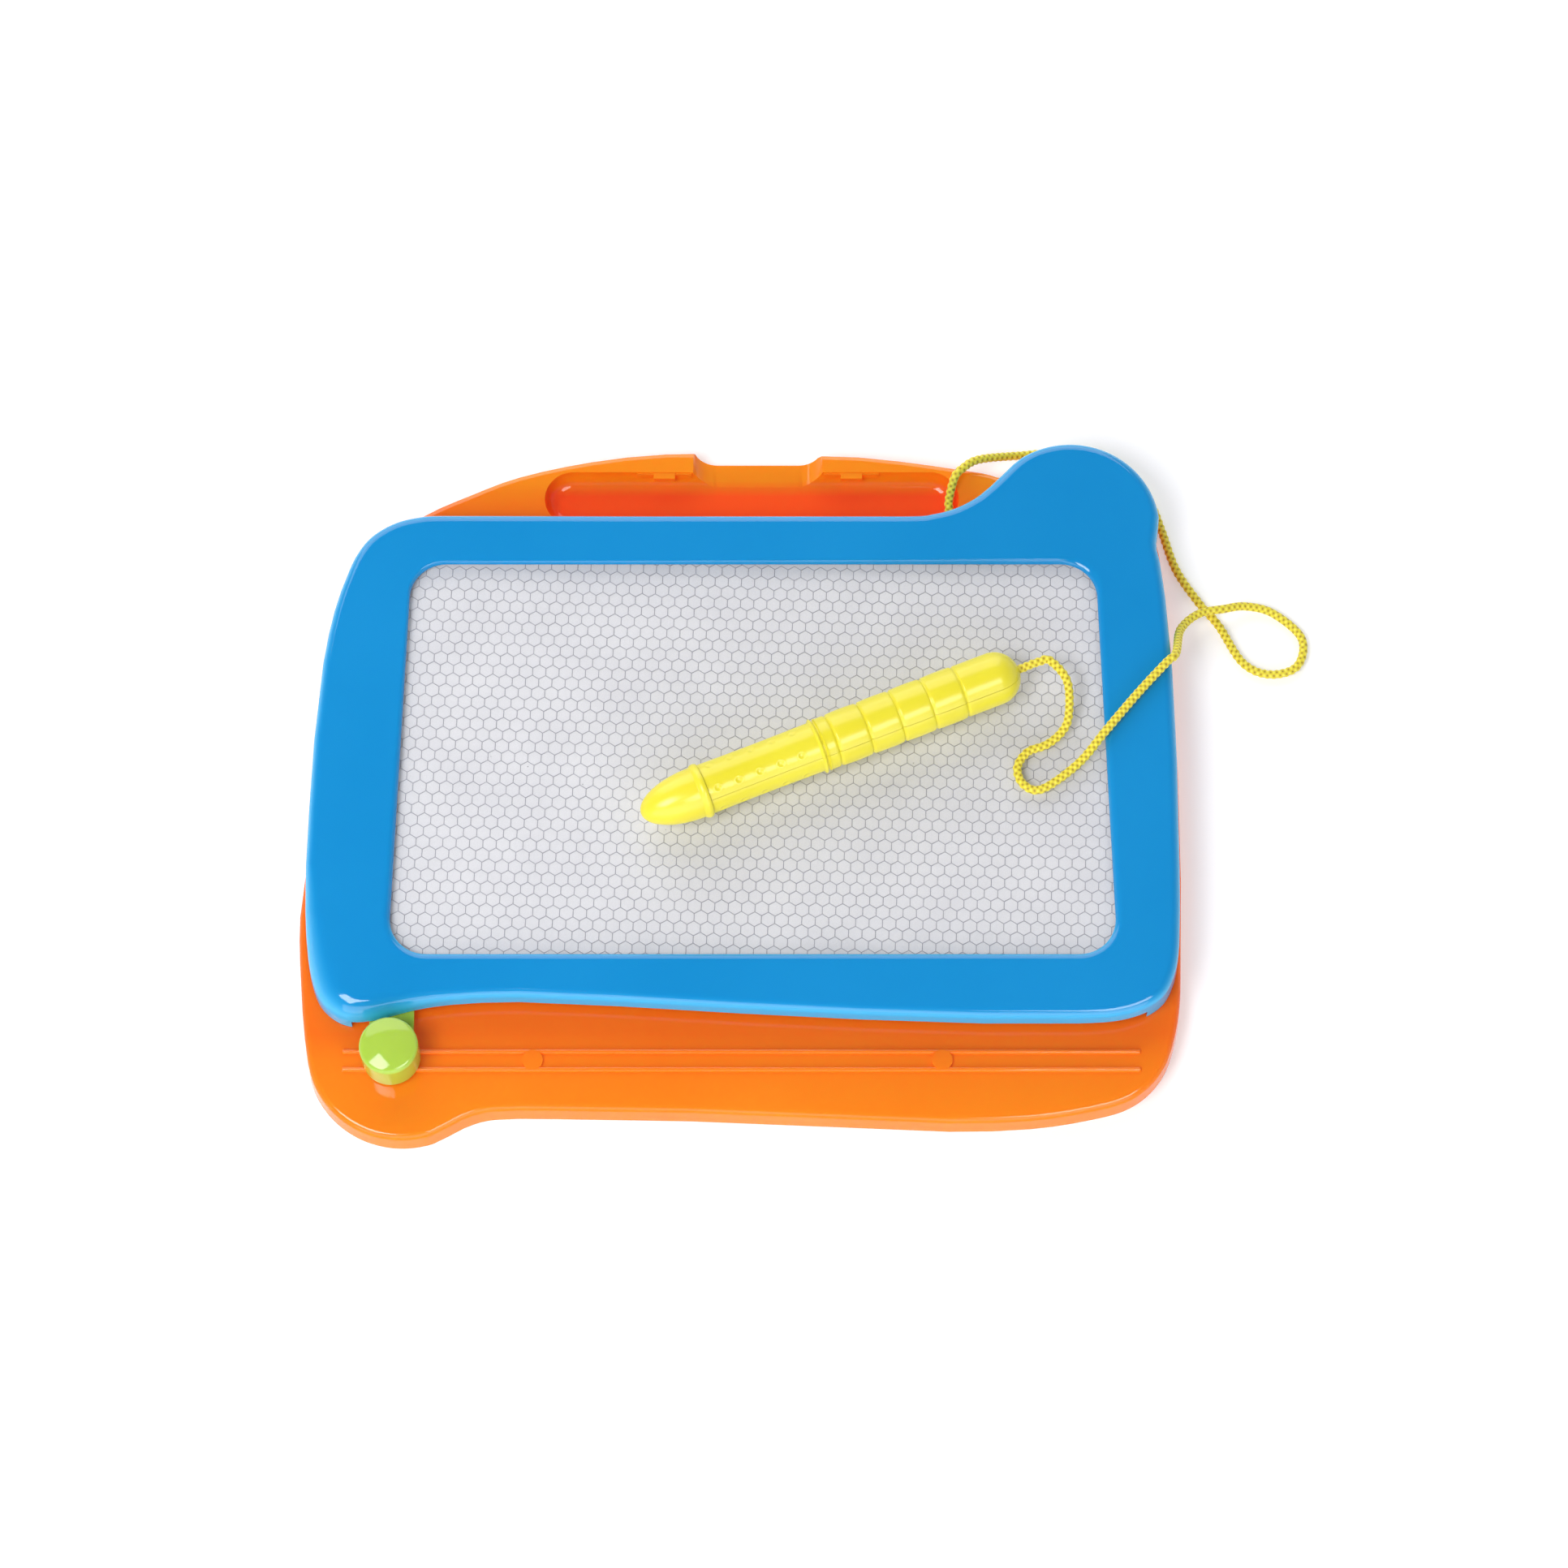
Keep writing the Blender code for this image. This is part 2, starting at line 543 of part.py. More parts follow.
def base_cavity(outline):
    """The hollow under the deck, less everything that stands in it."""
    wall_height = BASE_HEIGHT - BASE_WALL + OVERRUN
    cavity = stepped_solid("base_cavity", grown(outline, -BASE_WALL), -OVERRUN,
                           [(wall_height * math.tan(BASE_DRAFT), wall_height)], cutter=True)
    deck_under = BASE_HEIGHT - BASE_WALL
    half_rib = RIB_THICKNESS / 2
    low, high = deck_under - RIB_DEPTH, deck_under + OVERRUN
    ribs = []
    for number, share in enumerate(RIB_X_SHARES, 1):
        x = share * HALF_LENGTH
        ribs.append(box(f"rib_{number}", (x - half_rib, -BOARD_DEPTH, low), (x + half_rib, TRAY_Y, high)))
    for number, share in enumerate(RIB_Y_SHARES, 1):
        y = share * HALF_DEPTH
        ribs.append(box(f"cross_rib_{number}", (-BOARD_LENGTH, y - half_rib, low),
                        (BOARD_LENGTH, y + half_rib, high)))
    posts = cylinders("screw_posts", SCREWS, POST_RADIUS, -2 * OVERRUN, deck_under + OVERRUN)
    skin_floor = TRAY_FLOOR - TRAY_SKIN
    skin_rounding = TRAY_ROUNDING - skin_floor
    skin_loop = stadium(Vector((TRAY_X, TRAY_Y)), TRAY_HALF_LENGTH + TRAY_SKIN, TRAY_RADIUS + TRAY_SKIN)
    skin_steps = [(0.0, high - skin_floor - skin_rounding), *rounding(skin_rounding)]
    skin = stepped_solid("tray_skin", skin_loop, high, skin_steps, cutter=True, downwards=True)
    half = SCOOP_TOP_WIDTH / 2 + TRAY_SKIN
    scoop_skin = box("scoop_skin", (SCOOP_X - half, TRAY_Y, SCOOP_FLOOR - TRAY_SKIN),
                     (SCOOP_X + half, BOARD_DEPTH, high))
    cut(cavity, *ribs, posts, skin, scoop_skin)
    return cavity


def tray_cutter():
    """The pen tray, with a half-round bottom."""
    top = BASE_HEIGHT + OVERRUN
    steps = [(0.0, top - TRAY_FLOOR - TRAY_ROUNDING), *rounding(TRAY_ROUNDING)]
    loop = stadium(Vector((TRAY_X, TRAY_Y)), TRAY_HALF_LENGTH, TRAY_RADIUS)
    return stepped_solid("tray", loop, top, steps, cutter=True, downwards=True)


def swept_side(start, rise):
    """Half of a scoop's outline: out from its floor's end and up by rise, ever steeper."""
    floor, top = SCOOP_FLOOR_WIDTH / 2, SCOOP_TOP_WIDTH / 2
    angles = [math.pi / 2 * step / SCOOP_STEPS for step in range(SCOOP_STEPS + 1)]
    return [(floor + (top - floor) * math.sin(a), start + rise * (1 - math.cos(a))) for a in angles]


def scoop_cutter():
    """The finger scoop: a dip with swept sides, cut through the tray's back rim."""
    top = BASE_HEIGHT + OVERRUN
    side = [*swept_side(SCOOP_FLOOR, BASE_HEIGHT - SCOOP_FLOOR), (SCOOP_TOP_WIDTH / 2, top)]
    loop = [Vector((SCOOP_X - x, z)) for x, z in reversed(side)]
    loop += [Vector((SCOOP_X + x, z)) for x, z in side]
    scoop = prism("scoop", loop, -(HALF_DEPTH + OVERRUN), -(TRAY_Y + TRAY_RADIUS - SCOOP_REACH), cutter=True)
    scoop.rotation_euler = (math.pi / 2, 0, 0)
    return scoop


def scoop_notch():
    """Where the back rim steps in behind the scoop."""
    side = swept_side(HALF_DEPTH - SCOOP_NOTCH, SCOOP_NOTCH + OVERRUN)
    loop = [Vector((SCOOP_X - x, y)) for x, y in reversed(side)]
    loop += [Vector((SCOOP_X + x, y)) for x, y in side]
    return prism("scoop_notch", loop, -OVERRUN, BASE_HEIGHT + OVERRUN, cutter=True)


def tray_clips():
    """Two lugs on the tray's back rim that the pen snaps under, each on a low pad."""
    back = TRAY_Y + TRAY_RADIUS
    clips = []
    for name, side in (("left", -1), ("right", 1)):
        x = SCOOP_X + side * CLIP_SPACING / 2
        pad_top = BASE_HEIGHT - 2 * FIT_GAP
        clips.append(box(f"{name}_clip_pad",
                         (x - CLIP_PAD_WIDTH / 2, back - CLIP_PAD_REACH, pad_top - CLIP_HEIGHT - CLIP_REACH),
                         (x + CLIP_PAD_WIDTH / 2, back + BASE_WALL / 4, pad_top), edge=FIT_GAP))
        clips.append(box(f"{name}_clip_lug",
                         (x - CLIP_WIDTH / 2, back - CLIP_PAD_REACH - CLIP_REACH, BASE_HEIGHT - CLIP_HEIGHT),
                         (x + CLIP_WIDTH / 2, back + BASE_WALL / 2, BASE_HEIGHT - FIT_GAP), edge=FIT_GAP))
    return clips


def make_base():
    outline = board_outline(BASE_OUTLINE_SHARES, HALF_DEPTH)
    wall_height = BASE_HEIGHT - BASE_EDGE
    base = stepped_solid("base_shell", outline, 0.0,
                         [(wall_height * math.tan(BASE_DRAFT), wall_height), *rounding(BASE_EDGE)], ORANGE)
    cut(base, base_cavity(outline), tray_cutter(), scoop_cutter(), scoop_notch())
    join(base, *tray_clips())
    rails = []
    for number, side in enumerate((-1, 1), 1):
        y = RAIL_Y + side * RAIL_SPACING / 2
        low = (RAIL_END_SHARES[0] * HALF_LENGTH, y - RAIL_WIDTH / 2, BASE_HEIGHT - RAIL_HEIGHT)
        high = (RAIL_END_SHARES[1] * HALF_LENGTH, y + RAIL_WIDTH / 2, BASE_HEIGHT + RAIL_HEIGHT)
        rails.append(box(f"rail_{number}", low, high, edge=RAIL_WIDTH / 4))
    pads = cylinders("pads", [(share * HALF_LENGTH, RAIL_Y) for share in PAD_SHARES], PAD_RADIUS,
                     BASE_HEIGHT - RAIL_HEIGHT, BASE_HEIGHT + PAD_HEIGHT)
    join(base, *rails, pads)
    head_loops = [round_loop(place, POST_BORE_RADIUS, BORE_SIDES) for place in SCREWS]
    bore_steps = [(0.0, SCREW_SEAT + OVERRUN), (POST_BORE_RADIUS - SCREW_BORE_RADIUS, 0.0),
                  (0.0, BASE_HEIGHT + OVERRUN - SCREW_SEAT)]
    screw_bores = stepped_solids("screw_bores", head_loops, -OVERRUN, bore_steps, cutter=True)
    cord_hole = cylinders("cord_hole", [(0, 0)], CORD_HOLE_RADIUS, 0.0, TRAY_STUB + BASE_WALL, CORD_SIDES)
    cord_hole.matrix_world = tray_knot_matrix()
    cut(base, screw_bores, cord_hole)


# Frame

def frame_cavity(outline):
    wall_height = PLATE_UNDER - FRAME_BOTTOM - (FRAME_EDGE - FRAME_WALL) + OVERRUN
    inner_edge = FRAME_EDGE - FRAME_WALL
    steps = [(wall_height * math.tan(FRAME_DRAFT), wall_height), *rounding(inner_edge, EDGE_STEPS - 1)]
    cavity = stepped_solid("frame_cavity", grown(outline, -FRAME_WALL), FRAME_BOTTOM - OVERRUN, steps,
                           cutter=True)
    bosses = cylinders("frame_bosses", SCREWS, BOSS_RADIUS, FRAME_BOTTOM - 2 * OVERRUN, PLATE_UNDER + OVERRUN,
                       BORE_SIDES)
    rib = prism("locating_rib", screen_loop(FIT_GAP + LOCATING_RIB), SCREEN_BACK, PLATE_UNDER + OVERRUN,
                cutter=True)
    rib_hole = prism("locating_rib_hole", screen_loop(FIT_GAP), SCREEN_BACK - OVERRUN,
                     PLATE_UNDER + 2 * OVERRUN, cutter=True)
    cut(rib, rib_hole)
    cut(cavity, bosses, rib)
    return cavity


def window_cutter():
    """The window, with its front edge rounded outwards."""
    angles = [math.pi / 2 * step / EDGE_STEPS for step in range(EDGE_STEPS + 1)]
    places = [(WINDOW_EDGE * math.sin(a), WINDOW_EDGE * (1 - math.cos(a))) for a in angles]
    edge = [(b[0] - a[0], b[1] - a[1]) for a, b in zip(places, places[1:])]
    straight = FRAME_WALL - WINDOW_EDGE + OVERRUN
    return stepped_solid("window", window_loop(WINDOW_EDGE), FRAME_TOP + OVERRUN,
                         [(0.0, OVERRUN), *edge, (0.0, straight)], cutter=True, downwards=True)


def make_frame():
    outline = board_outline(FRAME_OUTLINE_SHARES, FRAME_BACK)
    wall_height = FRAME_HEIGHT - FRAME_EDGE
    frame = stepped_solid("frame_shell", outline, FRAME_BOTTOM,
                          [(wall_height * math.tan(FRAME_DRAFT), wall_height), *rounding(FRAME_EDGE)], BLUE)
    slot = box("eraser_slot", (SLOT_LEFT, FRAME_FRONT - OVERRUN, FRAME_BOTTOM - OVERRUN),
               (SLOT_RIGHT, SCREEN_FRONT - LOCATING_RIB - OVERRUN, SLOT_TOP))
    pilots = cylinders("pilot_bores", SCREWS, SCREW_BORE_RADIUS, FRAME_BOTTOM - OVERRUN,
                       FRAME_BOTTOM + SCREW_REACH + OVERRUN, BORE_SIDES)
    cut(frame, frame_cavity(outline), window_cutter(), slot, pilots)


# Screen

def make_screen():
    prism("screen_front_film", screen_loop(), FRONT_FILM_TOP - FRONT_FILM_THICKNESS, FRONT_FILM_TOP, CLEAR)
    prism("screen_cell_sheet", screen_loop(), CELL_SHEET_TOP - CELL_SHEET_THICKNESS, CELL_SHEET_TOP,
          SCREEN_GREY)
    prism("screen_back_film", screen_loop(), SCREEN_BACK, BACK_FILM_TOP, WHITE_FILM)
    tape = prism("screen_tape", screen_loop(-TAPE_INSET), TAPE_TOP - TAPE_THICKNESS, TAPE_TOP, TAPE_WHITE)
    tape_hole = prism("tape_hole", window_loop(TAPE_WINDOW_GAP), TAPE_TOP - TAPE_THICKNESS - OVERRUN,
                      TAPE_TOP + OVERRUN, cutter=True)
    cut(tape, tape_hole)


# Eraser

def make_eraser():
    """Knob, arm and bar in one moulding, its origin on the line that it slides along."""
    bar_bottom = BASE_HEIGHT + BAR_LIFT
    bar_top = SCREEN_BACK - BAR_SCREEN_GAP
    bar_front, bar_back = WINDOW_FRONT - BAR_OVERLAP, WINDOW_BACK + BAR_OVERLAP
    slider = box("eraser_slider", (KNOB_X - BAR_WIDTH / 2, bar_front, bar_bottom),
                 (KNOB_X + BAR_WIDTH / 2, bar_back, bar_top), GREEN, cutter=False)
    arm_start = KNOB_Y + ARM_START_SHARE * KNOB_RADIUS
    arm = box("eraser_arm", (KNOB_X - ARM_WIDTH / 2, arm_start, BASE_HEIGHT + ARM_LIFT),
              (KNOB_X + ARM_WIDTH / 2, bar_front + BAR_WIDTH / 2, SLOT_TOP - ARM_SLOT_GAP))
    knob = stepped_solid("eraser_knob", round_loop((KNOB_X, KNOB_Y), KNOB_RADIUS, 32), KNOB_BOTTOM,
                         [(0.0, KNOB_HEIGHT - KNOB_EDGE), *rounding(KNOB_EDGE)], cutter=True)
    hollow = cylinders("knob_hollow", [(KNOB_X, KNOB_Y)], KNOB_RADIUS - KNOB_WALL, BASE_HEIGHT,
                       KNOB_BOTTOM + KNOB_HEIGHT - KNOB_WALL)
    low = Vector((KNOB_X - ERASER_MAGNET_WIDTH / 2, bar_front + ERASER_MAGNET_INSET,
                  bar_top - ERASER_MAGNET_THICKNESS))
    high = Vector((KNOB_X + ERASER_MAGNET_WIDTH / 2, bar_back - ERASER_MAGNET_INSET, bar_top))
    room = Vector((FIT_GAP, FIT_GAP, FIT_GAP))
    channel = box("magnet_channel", low - room, high + room + Vector((0, 0, OVERRUN)))
    join(slider, arm, knob)
    cut(slider, hollow, channel)
    magnet = box("eraser_magnet", low, high, MAGNET, cutter=False)
    for piece in (slider, magnet):
        move_origin(piece, (KNOB_X, KNOB_Y, KNOB_BOTTOM))


def move_origin(obj, place):
    obj.data.transform(Matrix.Translation(-Vector(place)))
    obj.location = place


def round_loop(centre, radius, sides):
    angles = (2 * math.pi * side / sides for side in range(sides))
    return [Vector(centre) + radius * Vector((math.cos(a), math.sin(a))) for a in angles]


# Screws

def make_screws():
    seat = SCREW_SEAT - FIT_GAP
    point = FRAME_BOTTOM + SCREW_REACH
    for number, (x, y) in enumerate(SCREWS, 1):
        profile = [(0, point), (SCREW_RADIUS * SCREW_POINT_SHARE, point),
                   (SCREW_RADIUS, point - SCREW_RADIUS), (SCREW_RADIUS, seat),
                   (SCREW_HEAD_RADIUS, seat), (SCREW_HEAD_RADIUS, seat - SCREW_HEAD_HEIGHT / 2),
                   (SCREW_HEAD_RADIUS * SCREW_CROWN_SHARE, seat - SCREW_HEAD_HEIGHT),
                   (0, seat - SCREW_HEAD_HEIGHT)]
        screw = turned(f"housing_screw_{number}", profile, BORE_SIDES, STEEL, closed=False)
        screw.location = (x, y, 0)


# Pen, built upright from its tip and laid down by one matrix

def pen_matrix():
    ahead = Vector((math.cos(PEN_HEADING), math.sin(PEN_HEADING), 0))
    side = Vector((math.sin(PEN_HEADING), -math.cos(PEN_HEADING), 0))
    seam = math.cos(PEN_SEAM_ROLL) * Vector((0, 0, 1)) + math.sin(PEN_SEAM_ROLL) * side
    matrix = Matrix((seam, ahead.cross(seam), ahead)).transposed().to_4x4()
    height = FRONT_FILM_TOP + FIT_GAP + TAIL_RING_RADIUS
    tip = (PEN_TIP_SHARES[0] * HALF_LENGTH, PEN_TIP_SHARES[1] * HALF_DEPTH, height)
    return Matrix.Translation(tip) @ matrix


def dome(radius, length, base_height, up, steps=5, inner=0.0):
    """Points of half an ellipse, from its tip or from radius inner, to its base."""
    first = math.asin(min(1.0, inner / radius))
    angles = [first + (math.pi / 2 - first) * step / steps for step in range(steps + 1)]
    points = [(radius * math.sin(a), base_height + up * length * math.cos(a)) for a in angles]
    if inner == 0.0:
        points[0] = (0.0, base_height + up * length)
    return points


def nose_profile():
    ring = NOSE_RING_RADIUS
    ring_top = NOSE_LENGTH
    ring_bottom = NOSE_LENGTH - NOSE_RING_WIDTH
    spigot = PEN_RADIUS - PEN_WALL - FIT_GAP
    bore = PEN_MAGNET_RADIUS + FIT_GAP
    inside = [(0.0, NOSE_WALL), (bore, NOSE_WALL), (bore, NOSE_LENGTH + SPIGOT_LENGTH)]
    outside = [(spigot, NOSE_LENGTH + SPIGOT_LENGTH), (spigot, ring_top), (ring - GRIP_WAIST, ring_top),
               (ring, ring_top - NOSE_RING_WIDTH / 3), (ring, ring_bottom + NOSE_RING_WIDTH / 3)]
    outside += reversed(dome(PEN_RADIUS, NOSE_DOME, NOSE_DOME, -1, steps=6))
    return inside + outside


def barrel_profile():
    """The barrel from the cord's hole down the outside to the nose, and back up inside."""
    hole = CORD_RADIUS + FIT_GAP
    start = NOSE_LENGTH + FIT_GAP
    dome_base = PEN_LENGTH - TAIL_DOME
    outside = dome(TAIL_RADIUS, TAIL_DOME, dome_base, 1, steps=5, inner=hole)
    first_band = TAIL_START + TAIL_RING_WIDTH
    band = (dome_base - first_band) / BAND_COUNT
    half = BAND_GROOVE_WIDTH / 2
    for number in range(BAND_COUNT, 0, -1):
        top = first_band + number * band
        if number < BAND_COUNT:
            outside += [(TAIL_RADIUS, top + half), (TAIL_RADIUS - BAND_GROOVE, top),
                        (TAIL_RADIUS, top - half)]
        outside.append((TAIL_RADIUS + BAND_SWELL, top - band / 2))
    ring = TAIL_RING_RADIUS
    outside += [(TAIL_RADIUS, first_band + half), (ring, first_band - TAIL_RING_WIDTH / 4),
                (ring, TAIL_START + TAIL_RING_WIDTH / 4), (PEN_RADIUS - GRIP_WAIST, TAIL_START - half)]
    middle = (TAIL_START + NOSE_LENGTH) / 2
    outside += [(PEN_RADIUS - 2 * GRIP_WAIST, middle), (PEN_RADIUS - GRIP_WAIST, start + half),
                (PEN_RADIUS - GRIP_WAIST, start)]
    inner_radius = PEN_RADIUS - PEN_WALL
    inside = [(inner_radius, start)]
    inside += reversed(dome(inner_radius, TAIL_DOME - PEN_WALL, dome_base, 1, steps=3, inner=hole))
    return outside + inside


def make_pen():
    matrix = pen_matrix()
    nose = turned("pen_nose", nose_profile(), ROUND_SIDES, LIME, closed=False)
    nose.matrix_world = matrix
    reach = PEN_LENGTH + OVERRUN
    wide = 2 * PEN_RADIUS
    for name, side in (("pen_barrel_upper", -1), ("pen_barrel_lower", 1)):
        half = turned(name, barrel_profile(), ROUND_SIDES, LIME)
        half.matrix_world = matrix
        near, far = sorted((side * FIT_GAP / 2, -side * wide))
        cutter = box(f"{name}_seam", (-wide, near, 0.0), (wide, far, reach))
        cutter.matrix_world = matrix
        cut(half, cutter)
    magnet = cylinders("pen_magnet", [(0, 0)], PEN_MAGNET_RADIUS, NOSE_WALL + FIT_GAP,
                       NOSE_WALL + FIT_GAP + PEN_MAGNET_LENGTH, material=MAGNET, cutter=False)
    magnet.matrix_world = matrix


# Cord

def knot(name, matrix, stub):
    """A tight knot at the matrix's origin, and the cord's end out of its hole along +Z."""
    bm = bmesh.new()
    bmesh.ops.create_uvsphere(bm, u_segments=CORD_SIDES, v_segments=8, radius=CORD_KNOT_RADIUS)
    obj = finish_mesh(bm, name, CORD_YELLOW)
    obj.matrix_world = matrix
    end = cylinders(f"{name}_stub", [(0, 0)], CORD_RADIUS, 0.0, stub, 8)
    end.matrix_world = matrix
    join(obj, end)


def tray_knot_matrix():
    """The knot behind the tray's front wall, its +Z out through the cord's hole."""
    y = tray_wall_y(CORD_HOLE_X, TRAY_RADIUS + TRAY_SKIN + FIT_GAP + CORD_KNOT_RADIUS)
    turn = Matrix.Rotation(CORD_HOLE_RISE - math.pi / 2, 4, "X")
    return Matrix.Translation((CORD_HOLE_X, y, CORD_KNOT_HEIGHT)) @ turn


def make_knots():
    knot("base_cord_knot", tray_knot_matrix(), TRAY_STUB)
    inside = PEN_LENGTH - PEN_WALL - 2 * CORD_KNOT_RADIUS
    knot("pen_cord_knot", pen_matrix() @ Matrix.Translation((0, 0, inside)), PEN_LENGTH + PEN_STUB - inside)


def route_points():
    """Points at even steps along a smooth curve through the route."""
    controls = [Vector(point) * MM for point in CORD_ROUTE_MM]
    fine = []
    for index in range(len(controls) - 1):
        span = along_curve(controls, index, False)
        fine += [curve_point(*span, step / 12) for step in range(12)]
    fine.append(controls[-1])
    lengths = [0.0]
    for start, end in zip(fine, fine[1:]):
        lengths.append(lengths[-1] + (end - start).length)
    count = round(lengths[-1] / CORD_SPACING)
    points, place = [], 0
    for number in range(count + 1):
        wanted = lengths[-1] * number / count
        while place < len(fine) - 2 and lengths[place + 1] < wanted:
            place += 1
        share = (wanted - lengths[place]) / (lengths[place + 1] - lengths[place])
        points.append(fine[place].lerp(fine[place + 1], min(1.0, share)))
    print(f"cord length {lengths[-1] / MM:.1f} mm in {len(points)} points")
    return points


def make_cord():
    points = route_points()
    data = bpy.data.curves.new("pen_cord", "CURVE")
    data.dimensions = "3D"
    data.bevel_depth = CORD_RADIUS
    data.bevel_resolution = 2
    data.use_fill_caps = True
    spline = data.splines.new("POLY")
    spline.points.add(len(points) - 1)
    for place, point in zip(spline.points, points):
        place.co = (*point, 1.0)
    add_object("pen_cord", data, PARTS, CORD_YELLOW)


make_base()
make_frame()
make_screen()
make_eraser()
make_screws()
make_pen()
make_knots()
make_cord()
print(f"eraser slide from {(SLOT_LEFT + FIT_GAP + ARM_WIDTH / 2 - KNOB_X) / MM:.2f} mm "
      f"to {(SLOT_RIGHT - FIT_GAP - ARM_WIDTH / 2 - KNOB_X) / MM:.2f} mm")
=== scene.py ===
# Magnetic drawing board: the finished look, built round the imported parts.
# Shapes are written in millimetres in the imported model's own frame, and made in metres.
import math

import bmesh
import bpy
from mathutils import Matrix, Vector


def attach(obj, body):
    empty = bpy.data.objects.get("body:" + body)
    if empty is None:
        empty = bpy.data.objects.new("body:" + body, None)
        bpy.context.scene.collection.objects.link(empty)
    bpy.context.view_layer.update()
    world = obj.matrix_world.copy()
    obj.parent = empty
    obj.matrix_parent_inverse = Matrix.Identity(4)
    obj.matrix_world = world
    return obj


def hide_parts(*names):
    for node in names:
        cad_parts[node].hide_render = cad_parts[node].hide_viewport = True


mm = 0.001
overrun = 1.0  # how far a cutting shape goes past what it cuts
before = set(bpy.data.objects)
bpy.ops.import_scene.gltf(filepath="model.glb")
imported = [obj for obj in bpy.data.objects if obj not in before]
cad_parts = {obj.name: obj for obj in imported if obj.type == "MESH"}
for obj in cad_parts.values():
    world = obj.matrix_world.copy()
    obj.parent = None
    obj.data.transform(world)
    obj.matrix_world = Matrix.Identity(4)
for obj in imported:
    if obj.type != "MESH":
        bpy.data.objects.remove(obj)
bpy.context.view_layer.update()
print("frame loaded")


def colour(hexColour):  # sRGB hex to linear
    values = [int(hexColour[i:i + 2], 16) / 255 for i in (1, 3, 5)]
    return (*(v / 12.92 if v <= 0.04045 else ((v + 0.055) / 1.055) ** 2.4 for v in values), 1.0)


def addNode(tree, kind, settings):  # a setting that is a socket becomes a link
    node = tree.nodes.new(kind)
    for key, value in settings.items():
        if key == "stops":  # a colour ramp's places and colours
            elements = node.color_ramp.elements
            while len(elements) < len(value):
                elements.new(0.5)
            for element, (place, shade) in zip(elements, value):
                element.position, element.color = place, shade
        elif isinstance(value, bpy.types.NodeSocket):
            tree.links.new(value, node.inputs[key])
        elif isinstance(key, int) or key in node.inputs:
            node.inputs[key].default_value = value
        else:
            setattr(node, key, value)
    return node.outputs


def coordinate(tree, kind="Object"):
    return addNode(tree, "ShaderNodeTexCoord", {})[kind]


def axes(tree, vector):
    return addNode(tree, "ShaderNodeSeparateXYZ", {"Vector": vector})


def noise(tree, place, size, detail):  # size in mm
    settings = {"Scale": 1 / (size * mm), "Detail": detail, "Vector": place}
    return addNode(tree, "ShaderNodeTexNoise", settings)["Fac"]


def ramp(tree, amount, *stops):
    stops = [(place, colour(shade)) for place, shade in stops]
    return addNode(tree, "ShaderNodeValToRGB", {"stops": stops, "Fac": amount})["Color"]


def maths(tree, operation, *values, clamp=False):
    settings = {"operation": operation, "use_clamp": clamp, **dict(enumerate(values))}
    return addNode(tree, "ShaderNodeMath", settings)["Value"]


def mapped(tree, value, start, end, low=0.0, high=1.0):  # start to end becomes low to high
    return addNode(tree, "ShaderNodeMapRange", {0: value, 1: start, 2: end, 3: low, 4: high})["Result"]


def mixed(tree, share, first, second, blend="MIX"):
    settings = {"data_type": "RGBA", "blend_type": blend, 0: share, 6: first, 7: second}
    return addNode(tree, "ShaderNodeMix", settings)[2]


def bumped(tree, height, strength, distance, **under):  # distance in mm
    settings = {"Strength": strength, "Distance": distance * mm, "Height": height, **under}
    return addNode(tree, "ShaderNodeBump", settings)["Normal"]


def newMaterial(name, values):  # values that are the same all over
    material = bpy.data.materials.new(name)
    material.use_nodes = True
    shader = material.node_tree.nodes["Principled BSDF"]
    for key, value in values.items():
        shader.inputs[key].default_value = value
    return material, material.node_tree, shader


# Camera, at the photograph's distance and angle
cameraView = {"place": (12.9, -489.1, 1400.7), "tilt": 19.4, "lens": 111.8, "sensor": 36, "reach": 20}
cameraData = bpy.data.cameras.new("camera")
cameraData.lens = cameraView["lens"]
cameraData.sensor_width = cameraView["sensor"]
cameraData.clip_end = cameraView["reach"]
camera = bpy.data.objects.new("camera", cameraData)
camera.location = Vector(cameraView["place"]) * mm
camera.rotation_euler = (math.radians(cameraView["tilt"]), 0, 0)
bpy.context.scene.collection.objects.link(camera)
bpy.context.scene.camera = camera


# Materials

# the mould's finish: a faint waviness 3 mm across and a fine grain, duller on the walls
finish = {"wave": 3.0, "waveHeight": 0.009, "waveStrength": 0.5, "grain": 0.3, "grainHeight": 0.004,
          "grainStrength": 0.25, "topGloss": 0.5, "wallGloss": 0.12}


def paintShadeInTray(tree, place, shade, look):
    # painted shade: the warm plastic is made redder and darker by the frame and down in the tray, where shade
    # falls
    where, half, hollow = axes(tree, place), look["shadeAlongY"][-1][0], look["hollow"]
    depth = mapped(tree, where["Y"], -half * mm, half * mm)
    paintedShadeRamp = ramp(tree, depth, *[((y + half) / (2 * half), there) for y, there in look["shadeAlongY"]])
    shade = mixed(tree, 1.0, shade, paintedShadeRamp, "MULTIPLY")
    low = mapped(tree, where["Z"], hollow["top"] * mm, hollow["low"] * mm)
    away = maths(tree, "ABSOLUTE", maths(tree, "SUBTRACT", where["Y"], hollow["y"] * mm))
    inner = mapped(tree, away, hollow["outerY"] * mm, hollow["innerY"] * mm)
    between = maths(tree, "COMPARE", where["X"], hollow["x"] * mm, hollow["halfX"] * mm)
    inside = maths(tree, "MULTIPLY", maths(tree, "MULTIPLY", low, inner), between)
    return mixed(tree, inside, shade, colour(look["trayShade"]))


